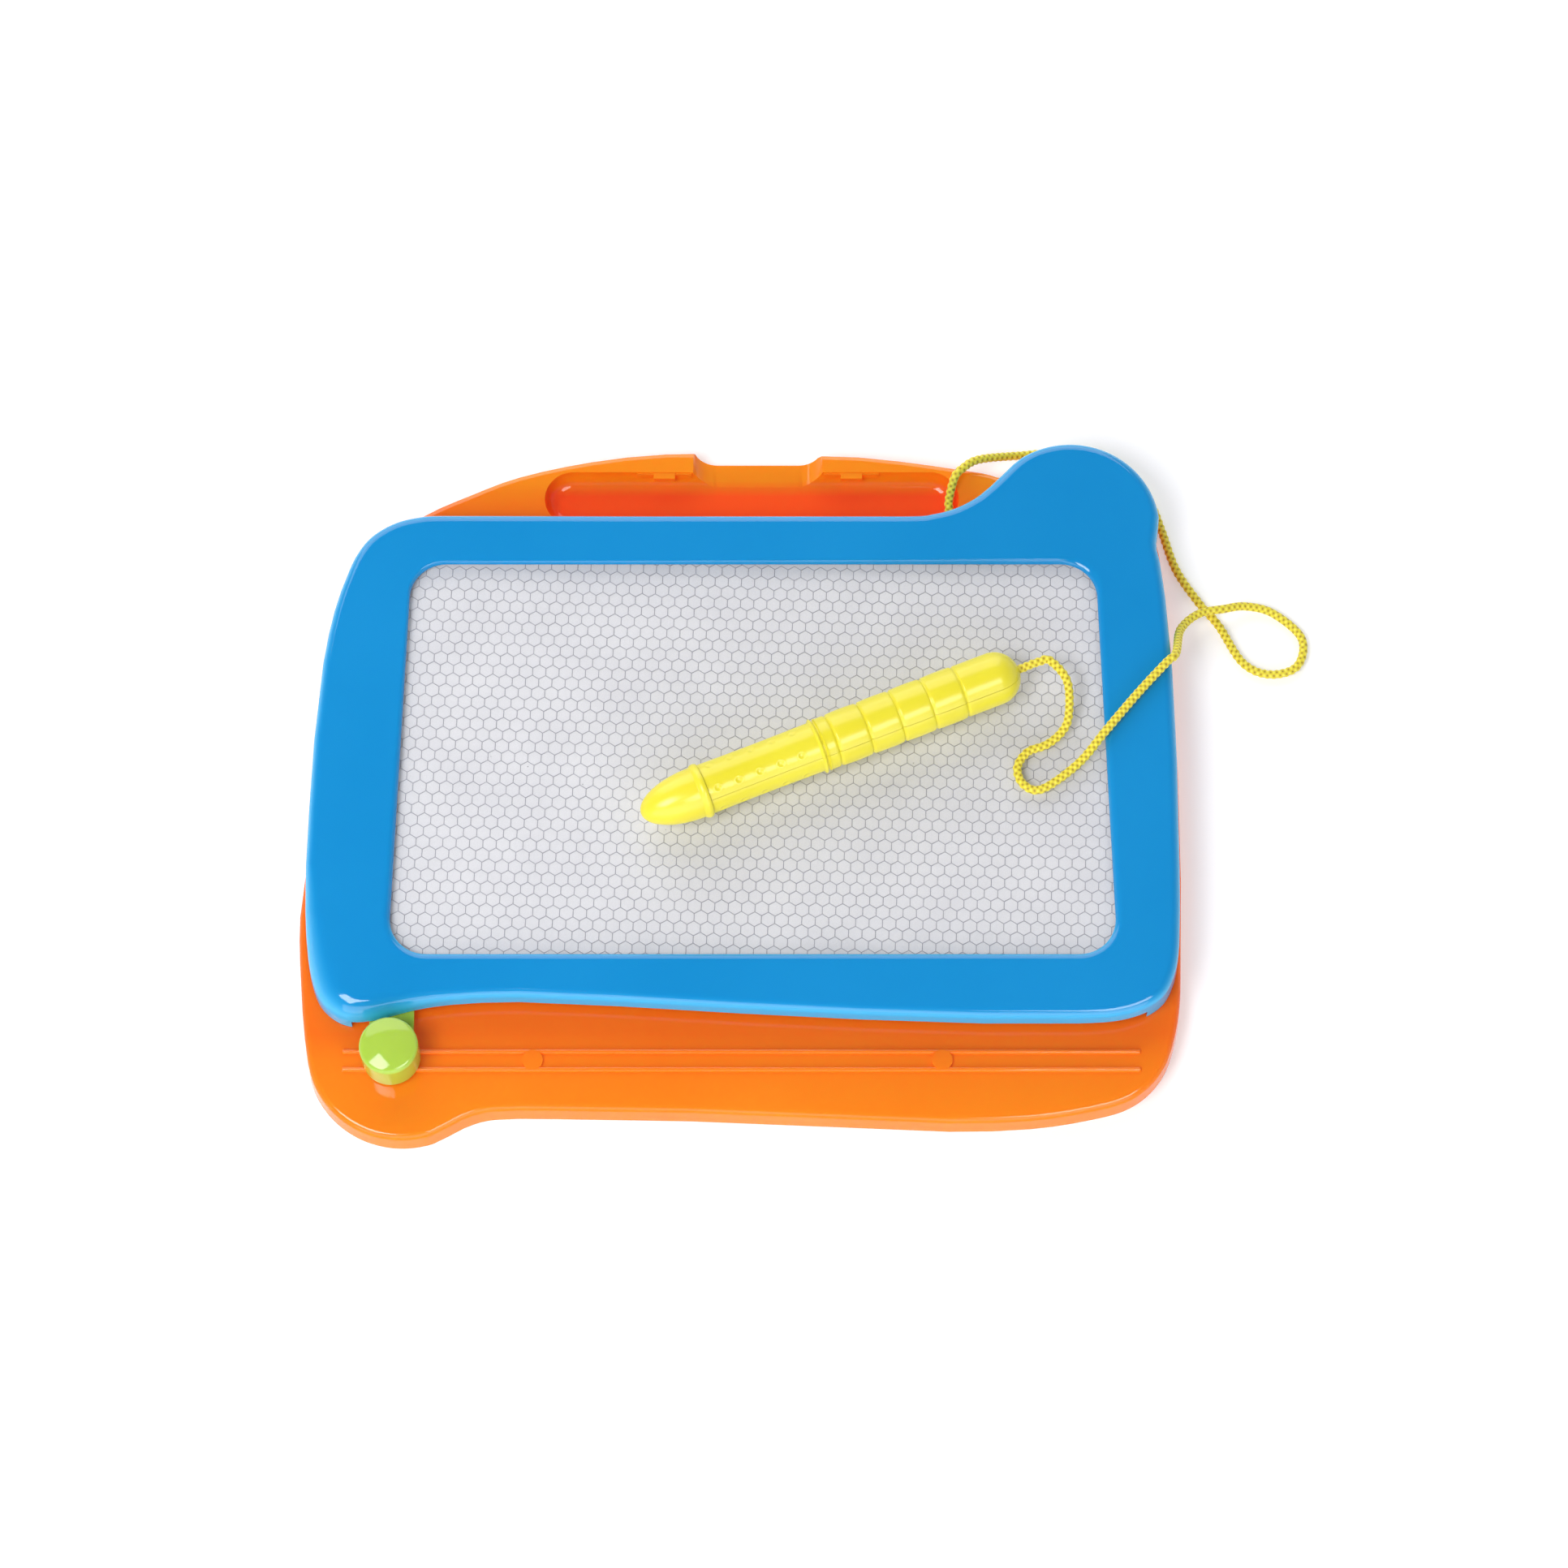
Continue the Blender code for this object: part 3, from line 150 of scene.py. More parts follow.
def paintLightOnEdges(tree, place, shade, look):
    # painted light and reflection: rounded edges and walls are painted a paler blue where light and the white
    # surroundings' reflection fall; at the window, only the front edge
    where, lean = axes(tree, place), axes(tree, coordinate(tree, "Normal"))
    edge = mapped(tree, lean["Z"], *look["edgeLean"])
    within = [maths(tree, "COMPARE", where[axis], middle * mm, half * mm)
              for axis, (middle, half) in look["windowBox"].items()]
    outside = maths(tree, "SUBTRACT", 1.0, maths(tree, "MULTIPLY", *within))
    shown = maths(tree, "MAXIMUM", outside, maths(tree, "MULTIPLY", lean["Y"], look["frontBoost"]))
    share = maths(tree, "MULTIPLY", edge, shown, clamp=True)
    return mixed(tree, share, shade, colour(look["paintedEdgeLight"]))


def mouldedAbs(name, look):
    # Injection-moulded ABS: a crisp gloss over a colour that light enters, so its shadows stay bright
    material, tree, shader = newMaterial(name, {
        "Roughness": look["roughness"], "IOR": 1.53, "Subsurface Weight": look["depth"],
        "Subsurface Radius": look["depthColour"], "Subsurface Scale": look["depthReach"] * mm})
    place = coordinate(tree)
    shade = ramp(tree, noise(tree, place, look["cloud"], 3.0), (0.3, look["dark"]), (0.7, look["light"]))
    if "paintedGlow" in look:  # painted light: a faint red emission, though the plastic is no lamp, that lifts its shadows and keeps them warm
        shader.inputs["Emission Color"].default_value = colour(look["paintedGlow"][0])
        shader.inputs["Emission Strength"].default_value = look["paintedGlow"][1]
    # painted shade by the frame and in the tray
    if "trayShade" in look:
        shade = paintShadeInTray(tree, place, shade, look)
    # painted light and reflection on the blue's edges and walls
    if "paintedEdgeLight" in look:
        shade = paintLightOnEdges(tree, place, shade, look)
    tree.links.new(shade, shader.inputs["Base Color"])
    if "wallLean" in look:  # the drafted walls come from the mould duller than the polished top
        upward = axes(tree, coordinate(tree, "Normal"))["Z"]
        dull = mapped(tree, upward, *look["wallLean"], finish["topGloss"], finish["wallGloss"])
        tree.links.new(dull, shader.inputs["Specular IOR Level"])
    grain, wave = noise(tree, place, finish["grain"], 2.0), noise(tree, place, finish["wave"], 1.0)
    fine = bumped(tree, grain, finish["grainStrength"], finish["grainHeight"])
    wavy = bumped(tree, wave, finish["waveStrength"], finish["waveHeight"], Normal=fine)
    tree.links.new(wavy, shader.inputs["Normal"])
    return material


absColours = {
    "orange": {"dark": "#EA8B10", "light": "#EA9216", "roughness": 0.09, "cloud": 60, "depth": 0.3,
               # painted light: a faint red glow that lifts the orange's shadows
               "depthColour": (1.0, 0.16, 0.04), "depthReach": 6.0, "paintedGlow": ("#FF3A20", 0.16),
               # painted shade: a redder colour down in the tray, and a ramp along Y that darkens the deck on
               # both sides of the frame
               "wallLean": (0.95, 0.5), "trayShade": "#F45416",
               "hollow": {"x": 2.9, "halfX": 66.0, "y": 91.5, "outerY": 11.5, "innerY": 6.5, "top": 8.8,
                          "low": 4.0},
               "shadeAlongY": [(-111, "#FFF6FF"), (-98, "#FFEEFF"), (-86, "#FFE4FF"), (-78, "#FFCCFF"),
                              (84, "#FFB8FF"), (92, "#FFD8FF"), (100, "#FFFFFF"), (111, "#FFFFFF")]},
    "blue": {"dark": "#0A8ACC", "light": "#128FD1", "roughness": 0.07, "cloud": 70, "depth": 0.1,
             "depthColour": (0.1, 0.5, 1.0), "depthReach": 3.0, "wallLean": (0.5, 0.1),
             # painted light: a paler blue on the rounded edges and walls, and on the window's front edge
             "paintedEdgeLight": "#36B4EC", "edgeLean": (0.97, 0.5), "frontBoost": 2.5,
             "windowBox": {"X": (3.6, 114.0), "Y": (6.5, 67.0)}},
    "green": {"dark": "#A8CA48", "light": "#B3D250", "roughness": 0.1, "cloud": 20, "depth": 0.3,
              "depthColour": (0.7, 1.0, 0.1), "depthReach": 4.0},
    "lime": {"dark": "#EFE034", "light": "#F4E63C", "roughness": 0.25, "cloud": 25, "depth": 0.25,
             "depthColour": (1.0, 0.9, 0.1), "depthReach": 3.0},
}
orangeAbs, blueAbs, greenAbs, limeAbs = (mouldedAbs(f"moulded_abs_{name}", absColours[name])
                                         for name in ("orange", "blue", "green", "lime"))


def milkyCellFluid():
    # Thickened white fluid that fills the cells: matt, with a few specks of iron powder 0.4 mm across
    material, tree, shader = newMaterial("milky_cell_fluid", {"Roughness": 0.55})
    place = coordinate(tree)
    fluid = ramp(tree, noise(tree, place, 18, 4.0), (0.3, "#DCDCE0"), (0.7, "#E4E4E7"))
    spacing, speckShare = 9 * mm, 0.022  # a speck's radius is a share of the spacing
    powder = addNode(tree, "ShaderNodeTexVoronoi", {"Scale": 1 / spacing, "Vector": place})["Distance"]
    speck = maths(tree, "LESS_THAN", powder, speckShare)
    tree.links.new(mixed(tree, speck, fluid, colour("#77777D")), shader.inputs["Base Color"])
    return material


def braidedPolyester():
    # Braided polyester cord with a soft sheen; painted shade makes it deeper yellow between the stitches, and
    # a painted highlight pales their tops
    material, tree, shader = newMaterial("braided_polyester", {"Roughness": 0.55, "Sheen Weight": 0.25})
    stitch = addNode(tree, "ShaderNodeAttribute", {"attribute_name": "stitch"})["Fac"]
    # painted shade between the stitches, painted highlight on their tops
    stitchShade = ramp(tree, stitch, (0.1, "#A08008"), (0.42, "#D8C018"), (0.75, "#F0E12E"), (1.0, "#FBF05A"))
    tree.links.new(stitchShade, shader.inputs["Base Color"])
    fibres = noise(tree, coordinate(tree), 0.15, 2.0)
    tree.links.new(bumped(tree, fibres, 0.5, 0.05), shader.inputs["Normal"])
    return material


def mottled(name, stops, roughness, size, detail):  # matt, in two close shades
    material, tree, shader = newMaterial(name, {"Roughness": roughness})
    shade = ramp(tree, noise(tree, coordinate(tree), size, detail), *stops)
    tree.links.new(shade, shader.inputs["Base Color"])
    return material


def unevenGloss(name, values, size, detail, smooth, rough):  # one colour, with a gloss that varies
    material, tree, shader = newMaterial(name, values)
    gloss = mapped(tree, noise(tree, coordinate(tree), size, detail), 0.0, 1.0, smooth, rough)
    tree.links.new(gloss, shader.inputs["Roughness"])
    return material


cellFluid = milkyCellFluid()
# Thin translucent walls of the honeycomb, which look grey between the white cells
cellWall = mottled("cell_wall_plastic", [(0.3, "#8C8C96"), (0.75, "#A6A6AE")],
                   roughness=0.45, size=7, detail=2.0)
# Clear PET film: nearly unseen, with the soft sheen that a rubbed surface gives
clearFilm = unevenGloss("clear_pet_film", {"Base Color": colour("#F0F0F4"), "Alpha": 0.14, "IOR": 1.57},
                        size=4, detail=5.0, smooth=0.28, rough=0.42)
# White PET film and foam tape, both matt with a faint mottle
matt = {"roughness": 0.7, "size": 1.2, "detail": 4.0}
whiteFilm = mottled("white_pet_film", [(0.3, "#E2E2E6"), (0.7, "#ECECEF")], **matt)
foamTape = mottled("foam_tape", [(0.3, "#E6E6E2"), (0.7, "#F4F4F0")], **matt)
cordBraid = braidedPolyester()
# Zinc-plated steel: bright, with a fine frosted grain
zincSteel = unevenGloss("zinc_plated_steel", {"Metallic": 1.0, "Base Color": colour("#C4C7CA")},
                        size=0.2, detail=3.0, smooth=0.25, rough=0.45)
# Bonded ferrite: dark grey and dull, with a grain of 0.5 mm
ferrite = mottled("bonded_ferrite", [(0.3, "#303133"), (0.7, "#45464A")],
                  roughness=0.65, size=0.5, detail=3.0)
print("materials made")


# Mesh helpers. Faces that meet at more degrees than this shade sharp or take a bevel
angles = {"sharp": 32, "round": 50, "bevel": 38}


def newPiece(name, bm, material=None, sharp="sharp"):
    bmesh.ops.recalc_face_normals(bm, faces=bm.faces)
    bmesh.ops.scale(bm, vec=(mm, mm, mm), verts=bm.verts)
    mesh = bpy.data.meshes.new(name)
    bm.to_mesh(mesh)
    bm.free()
    mesh.shade_smooth()
    mesh.set_sharp_from_angle(angle=math.radians(angles[sharp]))
    piece = bpy.data.objects.new(name, mesh)
    bpy.context.scene.collection.objects.link(piece)
    if material:
        mesh.materials.append(material)
    return piece


def settle(piece):  # the modifiers' result becomes the mesh
    graph = bpy.context.evaluated_depsgraph_get()
    mesh = bpy.data.meshes.new_from_object(piece.evaluated_get(graph), depsgraph=graph)
    old = piece.data
    piece.modifiers.clear()
    piece.data = mesh
    bpy.data.meshes.remove(old)


def combine(piece, others, operation="DIFFERENCE"):
    for other in others:
        modifier = piece.modifiers.new(other.name, "BOOLEAN")
        modifier.operation = operation
        modifier.object = other
        modifier.solver = "EXACT"
    settle(piece)
    for other in others:
        bpy.data.objects.remove(other, do_unlink=True)


def softenEdges(piece, width, segments=3):
    piece.data.shade_smooth()
    piece.data.set_sharp_from_angle(angle=math.radians(angles["sharp"]))
    bevel = piece.modifiers.new("edge", "BEVEL")
    bevel.width = width * mm
    bevel.segments = segments
    bevel.limit_method = "ANGLE"
    bevel.angle_limit = math.radians(angles["bevel"])
    weighted = piece.modifiers.new("normals", "WEIGHTED_NORMAL")
    weighted.keep_sharp = True
    settle(piece)


def finishPiece(piece, body, slotName, *nodes):
    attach(piece, body)
    if nodes:
        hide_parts(*nodes)


def hump(distance, width):  # a smooth bump, 1 in the middle and 0 at width
    share = min(1.0, abs(distance) / width)
    return (1 - share * share) ** 2


def rounding(radius, steps=8):  # the insets and rises of a rounded edge
    leans = [math.pi / 2 * step / steps for step in range(steps + 1)]
    places = [(radius * (1 - math.cos(a)), radius * math.sin(a)) for a in leans]
    return [(b[0] - a[0], b[1] - a[1]) for a, b in zip(places, places[1:])]


def steppedSolid(name, loop, bottom, steps, material=None, downwards=False):
    bm = bmesh.new()
    face = bm.faces.new([bm.verts.new((p.x, p.y, bottom)) for p in loop])
    face.normal_update()
    if (face.normal.z < 0) != downwards:
        face.normal_flip()
    for inset, rise in steps:
        bmesh.ops.inset_region(bm, faces=[face], thickness=inset, depth=rise, use_boundary=True,
                               use_even_offset=True)
    bmesh.ops.contextual_create(bm, geom=[edge for edge in bm.edges if edge.is_boundary])
    return newPiece(name, bm, material)


def prism(name, loop, bottom, top, material=None):
    return steppedSolid(name, loop, bottom, [(0.0, top - bottom)], material)


def box(name, low, high, material=None, edge=0.0):
    bm = bmesh.new()
    bmesh.ops.create_cube(bm, size=1.0)
    bmesh.ops.scale(bm, verts=bm.verts, vec=Vector(high) - Vector(low))
    bmesh.ops.translate(bm, verts=bm.verts, vec=(Vector(low) + Vector(high)) / 2)
    if edge:
        bmesh.ops.bevel(bm, geom=list(bm.edges), offset=edge, segments=3, profile=0.5, affect="EDGES")
    return newPiece(name, bm, material)


def cylinders(name, places, radius, bottom, top, sides=40):
    bm = bmesh.new()
    for x, y in places:
        bmesh.ops.create_cone(bm, cap_ends=True, segments=sides, radius1=radius, radius2=radius,
                              depth=top - bottom, matrix=Matrix.Translation((x, y, (bottom + top) / 2)))
    return newPiece(name, bm)


def closeRings(bm, rings):  # walls between equal rings, and a face at both ends
    for low, high in zip(rings, rings[1:]):
        for k in range(len(low)):
            bm.faces.new((low[k - 1], low[k], high[k], high[k - 1]))
    bm.faces.new(reversed(rings[0]))
    bm.faces.new(rings[-1])


def lofted(name, rings, material=None):  # rings from the bottom up
    bm = bmesh.new()
    closeRings(bm, [[bm.verts.new(point) for point in ring] for ring in rings])
    return newPiece(name, bm, material)


def turnedSolid(name, profile, sides, material=None):  # profile: (height, radius) from pole to pole
    bm = bmesh.new()
    rings = []
    for z, radius in profile:
        turns = [2 * math.pi * k / sides for k in range(sides if radius else 1)]
        rings.append([bm.verts.new((radius * math.cos(a), radius * math.sin(a), z)) for a in turns])
    for first, second in zip(rings, rings[1:]):
        for k in range(sides):
            corners = ((first, k), (first, k + 1), (second, k + 1), (second, k))
            bm.faces.new(list(dict.fromkeys(ring[place % len(ring)] for ring, place in corners)))
    return newPiece(name, bm, material, "round")


def curvePoint(before, start, end, after, t):  # a Catmull-Rom span
    return 0.5 * (2 * start + (end - before) * t + (2 * before - 5 * start + 4 * end - after) * t ** 2
                  + (3 * start - before - 3 * end + after) * t ** 3)


# Cord: one smooth curve from the tray, round the ear and over the frame to the pen
cord = {"radius": 1.4, "stitches": 6, "stitchLength": 1.9, "stitchDepth": 0.35, "step": 0.24, "sides": 30,
        "plump": 0.7, "knotRadius": 2.4, "knotTip": 0.35, "baseKnot": (63.976, 82.33, 4.0),
        "penKnot": (77.95, 29.36, 25.9)}
cordRoute = [
    (63.98, 89.66, 6.67), (63.98, 92.1, 7.56), (63.98, 94.55, 8.45), (65.6, 100.3, 11.9), (68.1, 103.4, 12.1),
    (73.6, 107.4, 9.9), (87.5, 111.8, 2.8), (101, 113.3, 1.7), (111.5, 111.2, 1.7), (120.5, 105.2, 1.7),
    (126.6, 96.4, 1.7), (130.1, 86.6, 1.7), (134.2, 73.7, 1.7), (141.1, 62.5, 1.7), (146.8, 55.2, 1.7),
    (153.9, 43, 1.7), (162.2, 39.2, 1.7), (170.6, 42, 1.7), (172.2, 51.1, 1.7), (163.7, 59.3, 1.7),
    (155.2, 61.3, 2.6), (148.1, 59.6, 4.7), (140.4, 57.6, 5.7), (134.4, 51, 9.6), (131.9, 39.3, 19.9),
    (128.7, 35.5, 21.8), (120.1, 25.9, 21.9), (110, 13.7, 21.7), (101.6, 4, 19.2), (90.6, -4, 18.7),
    (85, -2.6, 18.7), (83.2, 2.8, 18.7), (86.4, 7.8, 18.7), (91.8, 10, 18.7), (96.4, 13.6, 19.2),
    (98.8, 18.4, 21), (98.4, 28.2, 24.8), (93.3, 34.5, 25.9), (89.9, 34.2, 25.9), (85.09, 32.25, 25.9),
]


def evenPoints(controls, step, finer=24):  # points at even steps along a smooth curve
    fine = []
    for index in range(len(controls) - 1):
        span = [controls[min(max(index + k, 0), len(controls) - 1)] for k in (-1, 0, 1, 2)]
        fine += [curvePoint(*span, t / finer) for t in range(finer)]
    fine.append(controls[-1])
    lengths = [0.0]
    for start, end in zip(fine, fine[1:]):
        lengths.append(lengths[-1] + (end - start).length)
    count = round(lengths[-1] / step)
    points, place = [], 0
    for number in range(count + 1):
        wanted = lengths[-1] * number / count
        while place < len(fine) - 2 and lengths[place + 1] < wanted:
            place += 1
        share = (wanted - lengths[place]) / (lengths[place + 1] - lengths[place])
        points.append(fine[place].lerp(fine[place + 1], min(1.0, share)))
    return points, lengths[-1]


def braidedTube(name, points, radii):
    # plump stitches in a staggered lattice, with their height kept for the painted shade between them and the
    # painted highlight on top
    bm = bmesh.new()
    layer = bm.verts.layers.float.new("stitch")
    tangent = (points[1] - points[0]).normalized()
    normal = tangent.orthogonal().normalized()
    rings, along = [], 0.0
    for index, point in enumerate(points):
        ahead = points[min(index + 1, len(points) - 1)] - points[max(index - 1, 0)]
        turn = tangent.rotation_difference(ahead.normalized())
        normal, tangent = turn @ normal, ahead.normalized()
        other = tangent.cross(normal)
        if index:
            along += (point - points[index - 1]).length
        ring = []
        for k in range(cord["sides"]):
            angle = 2 * math.pi * k / cord["sides"]
            across = math.cos(angle * cord["stitches"] / 2)
            run = math.cos(2 * math.pi * along / cord["stitchLength"])
            height = (0.5 + 0.5 * across * run) ** cord["plump"]
            radius = radii[index] - cord["stitchDepth"] * (1 - height)
            vert = bm.verts.new(point + radius * (math.cos(angle) * normal + math.sin(angle) * other))
            vert[layer] = height
            ring.append(vert)
        rings.append(ring)
    closeRings(bm, rings)
    return newPiece(name, bm, cordBraid)


def makeCord():
    route, length = evenPoints([Vector(p) for p in cordRoute], cord["step"])
    line = braidedTube("penCord", route, [cord["radius"]] * len(route))
    finishPiece(line, "board", "braided_cord", "pen_cord")
    # each knot is a ball with a short end of cord out through its hole
    for name, node, body, out in (("baseKnot", "base_cord_knot", "board", cordRoute[0]),
                                  ("penKnot", "pen_cord_knot", "pen", cordRoute[-1])):
        middle, way = Vector(cord[name]), Vector(out) - Vector(cord[name])
        reach = way.length
        way.normalize()
        ball = cord["knotRadius"]
        count = int((reach + ball) / cord["step"])
        places = [-ball + (reach + ball) * step / count for step in range(count + 1)]
        radii = [max(cord["radius"] if z > 0 else cord["knotTip"], math.sqrt(max(0.0, ball * ball - z * z)))
                 for z in places]
        knot = braidedTube(name, [middle + way * z for z in places], radii)
        finishPiece(knot, body, "braided_cord", node)
    print(f"cord made, {length:.1f} mm long")


makeCord()


# The board's outlines. An arc is (its centre's name, inset, first angle, last angle, points).
board = {"halfLength": 133.0, "halfDepth": 110.75, "facetTurn": 3.5, "ear": (0.76, 0.74, 27.5),
         "lobe": (-0.755, 29.2)}
frameShares = [
    (-0.983, -0.253), (-0.981, -0.379), (-0.972, -0.506), (-0.953, -0.6), (-0.923, -0.653), (-0.876, -0.683),
    (-0.812, -0.679), (-0.737, -0.654), (-0.647, -0.636), (-0.496, -0.628), (-0.271, -0.64), (0.0, -0.66),
    (0.271, -0.677), (0.541, -0.688), (0.752, -0.688), (0.857, -0.677), (0.929, -0.641), (0.966, -0.582),
    (0.985, -0.479), (0.991, -0.253), (0.992, 0.045), (0.987, 0.316), (0.976, 0.524), (0.966, 0.628),
    (0.958, 0.686),
    ("ear", 0.0, 6.0, 144.0, 8),
    (0.547, 0.834), (0.494, 0.797), (0.439, 0.778), (0.383, 0.772), (0.15, 0.772), (-0.226, 0.772),
    (-0.564, 0.773), (-0.692, 0.773), (-0.744, 0.769), (-0.801, 0.751), (-0.854, 0.711), (-0.888, 0.657),
    (-0.911, 0.591), (-0.937, 0.488), (-0.959, 0.334), (-0.974, 0.108), (-0.98, -0.09),
]
baseShares = [
    (-1.0, -0.37), (-0.997, -0.497), (-0.988, -0.632),
    ("lobe", 0.0, 188.0, 308.0, 7),
    (-0.549, -0.92), (-0.414, -0.918), (-0.113, -0.924), (0.21, -0.94), (0.466, -0.953), (0.647, -0.946),
    (0.782, -0.921), (0.872, -0.888), (0.936, -0.822), (0.972, -0.727), (0.992, -0.578), (1.0, -0.271),
    (1.0, 0.045), (0.992, 0.406), (0.979, 0.578), (0.971, 0.686),
    ("ear", 1.6, 10.0, 105.0, 6),
    (0.654, 0.941), (0.609, 0.926), (0.559, 0.942), (0.445, 0.964), (0.271, 0.99), (0.038, 1.0),
    (-0.18, 0.999), (-0.353, 0.975), (-0.519, 0.929), (-0.635, 0.873), (-0.741, 0.811), (-0.831, 0.722),
    (-0.892, 0.6), (-0.937, 0.433), (-0.966, 0.181), (-0.981, -0.05), (-0.99, -0.24),
]


def boardOutline(shares):
    halfLength, halfDepth = board["halfLength"], board["halfDepth"]
    (earX, earY, earRadius), (lobeX, lobeRadius) = board["ear"], board["lobe"]
    centres = {"ear": (Vector((earX * halfLength, earY * halfDepth)), earRadius),
               "lobe": (Vector((lobeX * halfLength, lobeRadius - halfDepth)), lobeRadius)}
    points = []
    for entry in shares:
        if entry[0] in centres:
            name, inset, first, last, count = entry
            centre, radius = centres[name]
            for step in range(count):
                angle = math.radians(first + (last - first) * step / (count - 1))
                points.append(centre + (radius - inset) * Vector((math.cos(angle), math.sin(angle))))
        else:
            points.append(Vector((entry[0] * halfLength, entry[1] * halfDepth)))
    loop = []
    for index in range(len(points)):
        before, start, end, after = (points[(index + step) % len(points)] for step in (-1, 0, 1, 2))
        steps = max(1, math.ceil(math.degrees((end - before).angle(after - start)) / board["facetTurn"]))
        loop += [curvePoint(before, start, end, after, step / steps) for step in range(steps)]
    return loop


def grown(loop, distance, tightest=0.5):  # by one distance or many, held back at tight corners
    distances = distance if isinstance(distance, list) else [distance] * len(loop)
    moved = []
    for index, point in enumerate(loop):
        back = (point - loop[index - 1]).normalized()
        ahead = (loop[(index + 1) % len(loop)] - point).normalized()
        normal = Vector((back.y + ahead.y, -back.x - ahead.x)).normalized()
        mitre = max(tightest, normal.dot(Vector((ahead.y, -ahead.x))))
        moved.append(point + normal * distances[index] / mitre)
    return moved


def roundedCorners(corners, radius, steps=12):
    loop = []
    for index, corner in enumerate(corners):
        back = (corners[index - 1] - corner).normalized()
        ahead = (corners[(index + 1) % len(corners)] - corner).normalized()
        half = back.angle(ahead) / 2
        centre = corner + (back + ahead).normalized() * radius / math.sin(half)
        start = corner + back * radius / math.tan(half) - centre
        for step in range(steps + 1):
            spoke = start.copy()
            spoke.rotate(Matrix.Rotation((math.pi - 2 * half) * step / steps, 2))
            loop.append(centre + spoke)
    return loop


def stadium(centre, halfLength, radius, steps=24):
    loop = []
    for side, start in ((1, -90), (-1, 90)):
        for step in range(steps + 1):
            angle = math.radians(start + 180 * step / steps)
            loop.append(centre + Vector((side * (halfLength - radius) + radius * math.cos(angle),
                                         radius * math.sin(angle))))
    return loop


# Screws, and where they stand
screw = {"bore": 1.6, "head": 3.2, "post": 4.5, "boss": 3.1, "seat": 5.0, "reach": 6.2, "sides": 24,
         "places": [(-117.9, -50.0), (-117.9, -1.5), (-98.8, 78.3), (-27.9, 78.3), (41.8, 78.3),
                    (101.1, 86.0), (125.1, 10.5), (125.1, -50.0)]}


# Base: deck, pen tray, finger scoop and slider ribs, with ribs and screw posts underneath
base = {"height": 9.0, "wall": 2.0, "edge": 2.0, "draft": 4.0, "ribDepth": 2.1, "ribWidth": 1.4,
        "ribX": (-70.5, 0.0, 73.2), "ribY": (-68.7, -22.2, 26.6), "railY": -86.146, "railSpacing": 5.5,
        "railWidth": 1.6, "railHeight": 1.0, "railCrown": 0.7, "railEnds": (-118.5, 119.0),
        "pads": (-61.8, 59.9), "padRadius": 3.1, "padHeight": 1.05, "edgeSoftness": 0.4}
tray = {"centre": (2.926, 94.58), "halfLength": 64.05, "radius": 8.9, "floor": 2.6, "rounding": 5.0,
        "skin": 2.0, "middle": 94.6, "skinBack": 130.0, "scoopX": 4.79, "scoopTop": 40.0, "scoopBottom": 25.0,
        "scoopFloor": 3.2, "scoopNotch": 2.6, "scoopStart": 5.0, "scoopLength": 20.0}
# each clip is a small hook on a flat pad: width, reach, depths of bottom and top, and root in the wall
clips = {"spacing": 58.0, "clipPad": (17.0, 0.6, 4.4, 0.6, 0.5), "clip": (6.6, 2.0, 2.4, 0.3, 1.0)}
cordHole = {"place": (63.976, 82.33, 4.0), "rise": 20.0, "radius": 1.7, "length": 9.5}


def sweptSide(start, rise, steps=14):  # half a scoop's outline, ever steeper
    floor, top = tray["scoopBottom"] / 2, tray["scoopTop"] / 2
    leans = [math.pi / 2 * step / steps for step in range(steps + 1)]
    return [(floor + (top - floor) * math.sin(a), start + rise * (1 - math.cos(a))) for a in leans]


def scoopCutter():
    top = base["height"] + overrun
    side = [*sweptSide(tray["scoopFloor"], base["height"] - tray["scoopFloor"]), (tray["scoopTop"] / 2, top)]
    loop = [(tray["scoopX"] - x, z) for x, z in reversed(side)] + [(tray["scoopX"] + x, z) for x, z in side]
    front = tray["centre"][1] + tray["radius"] - tray["scoopStart"]
    bm = bmesh.new()
    face = bm.faces.new([bm.verts.new((x, front, z)) for x, z in loop])
    risen = bmesh.ops.extrude_face_region(bm, geom=[face], use_keep_orig=True)["geom"]
    bmesh.ops.translate(bm, verts=[v for v in risen if isinstance(v, bmesh.types.BMVert)],
                        vec=(0, tray["scoopLength"], 0))
    return newPiece("scoop", bm)


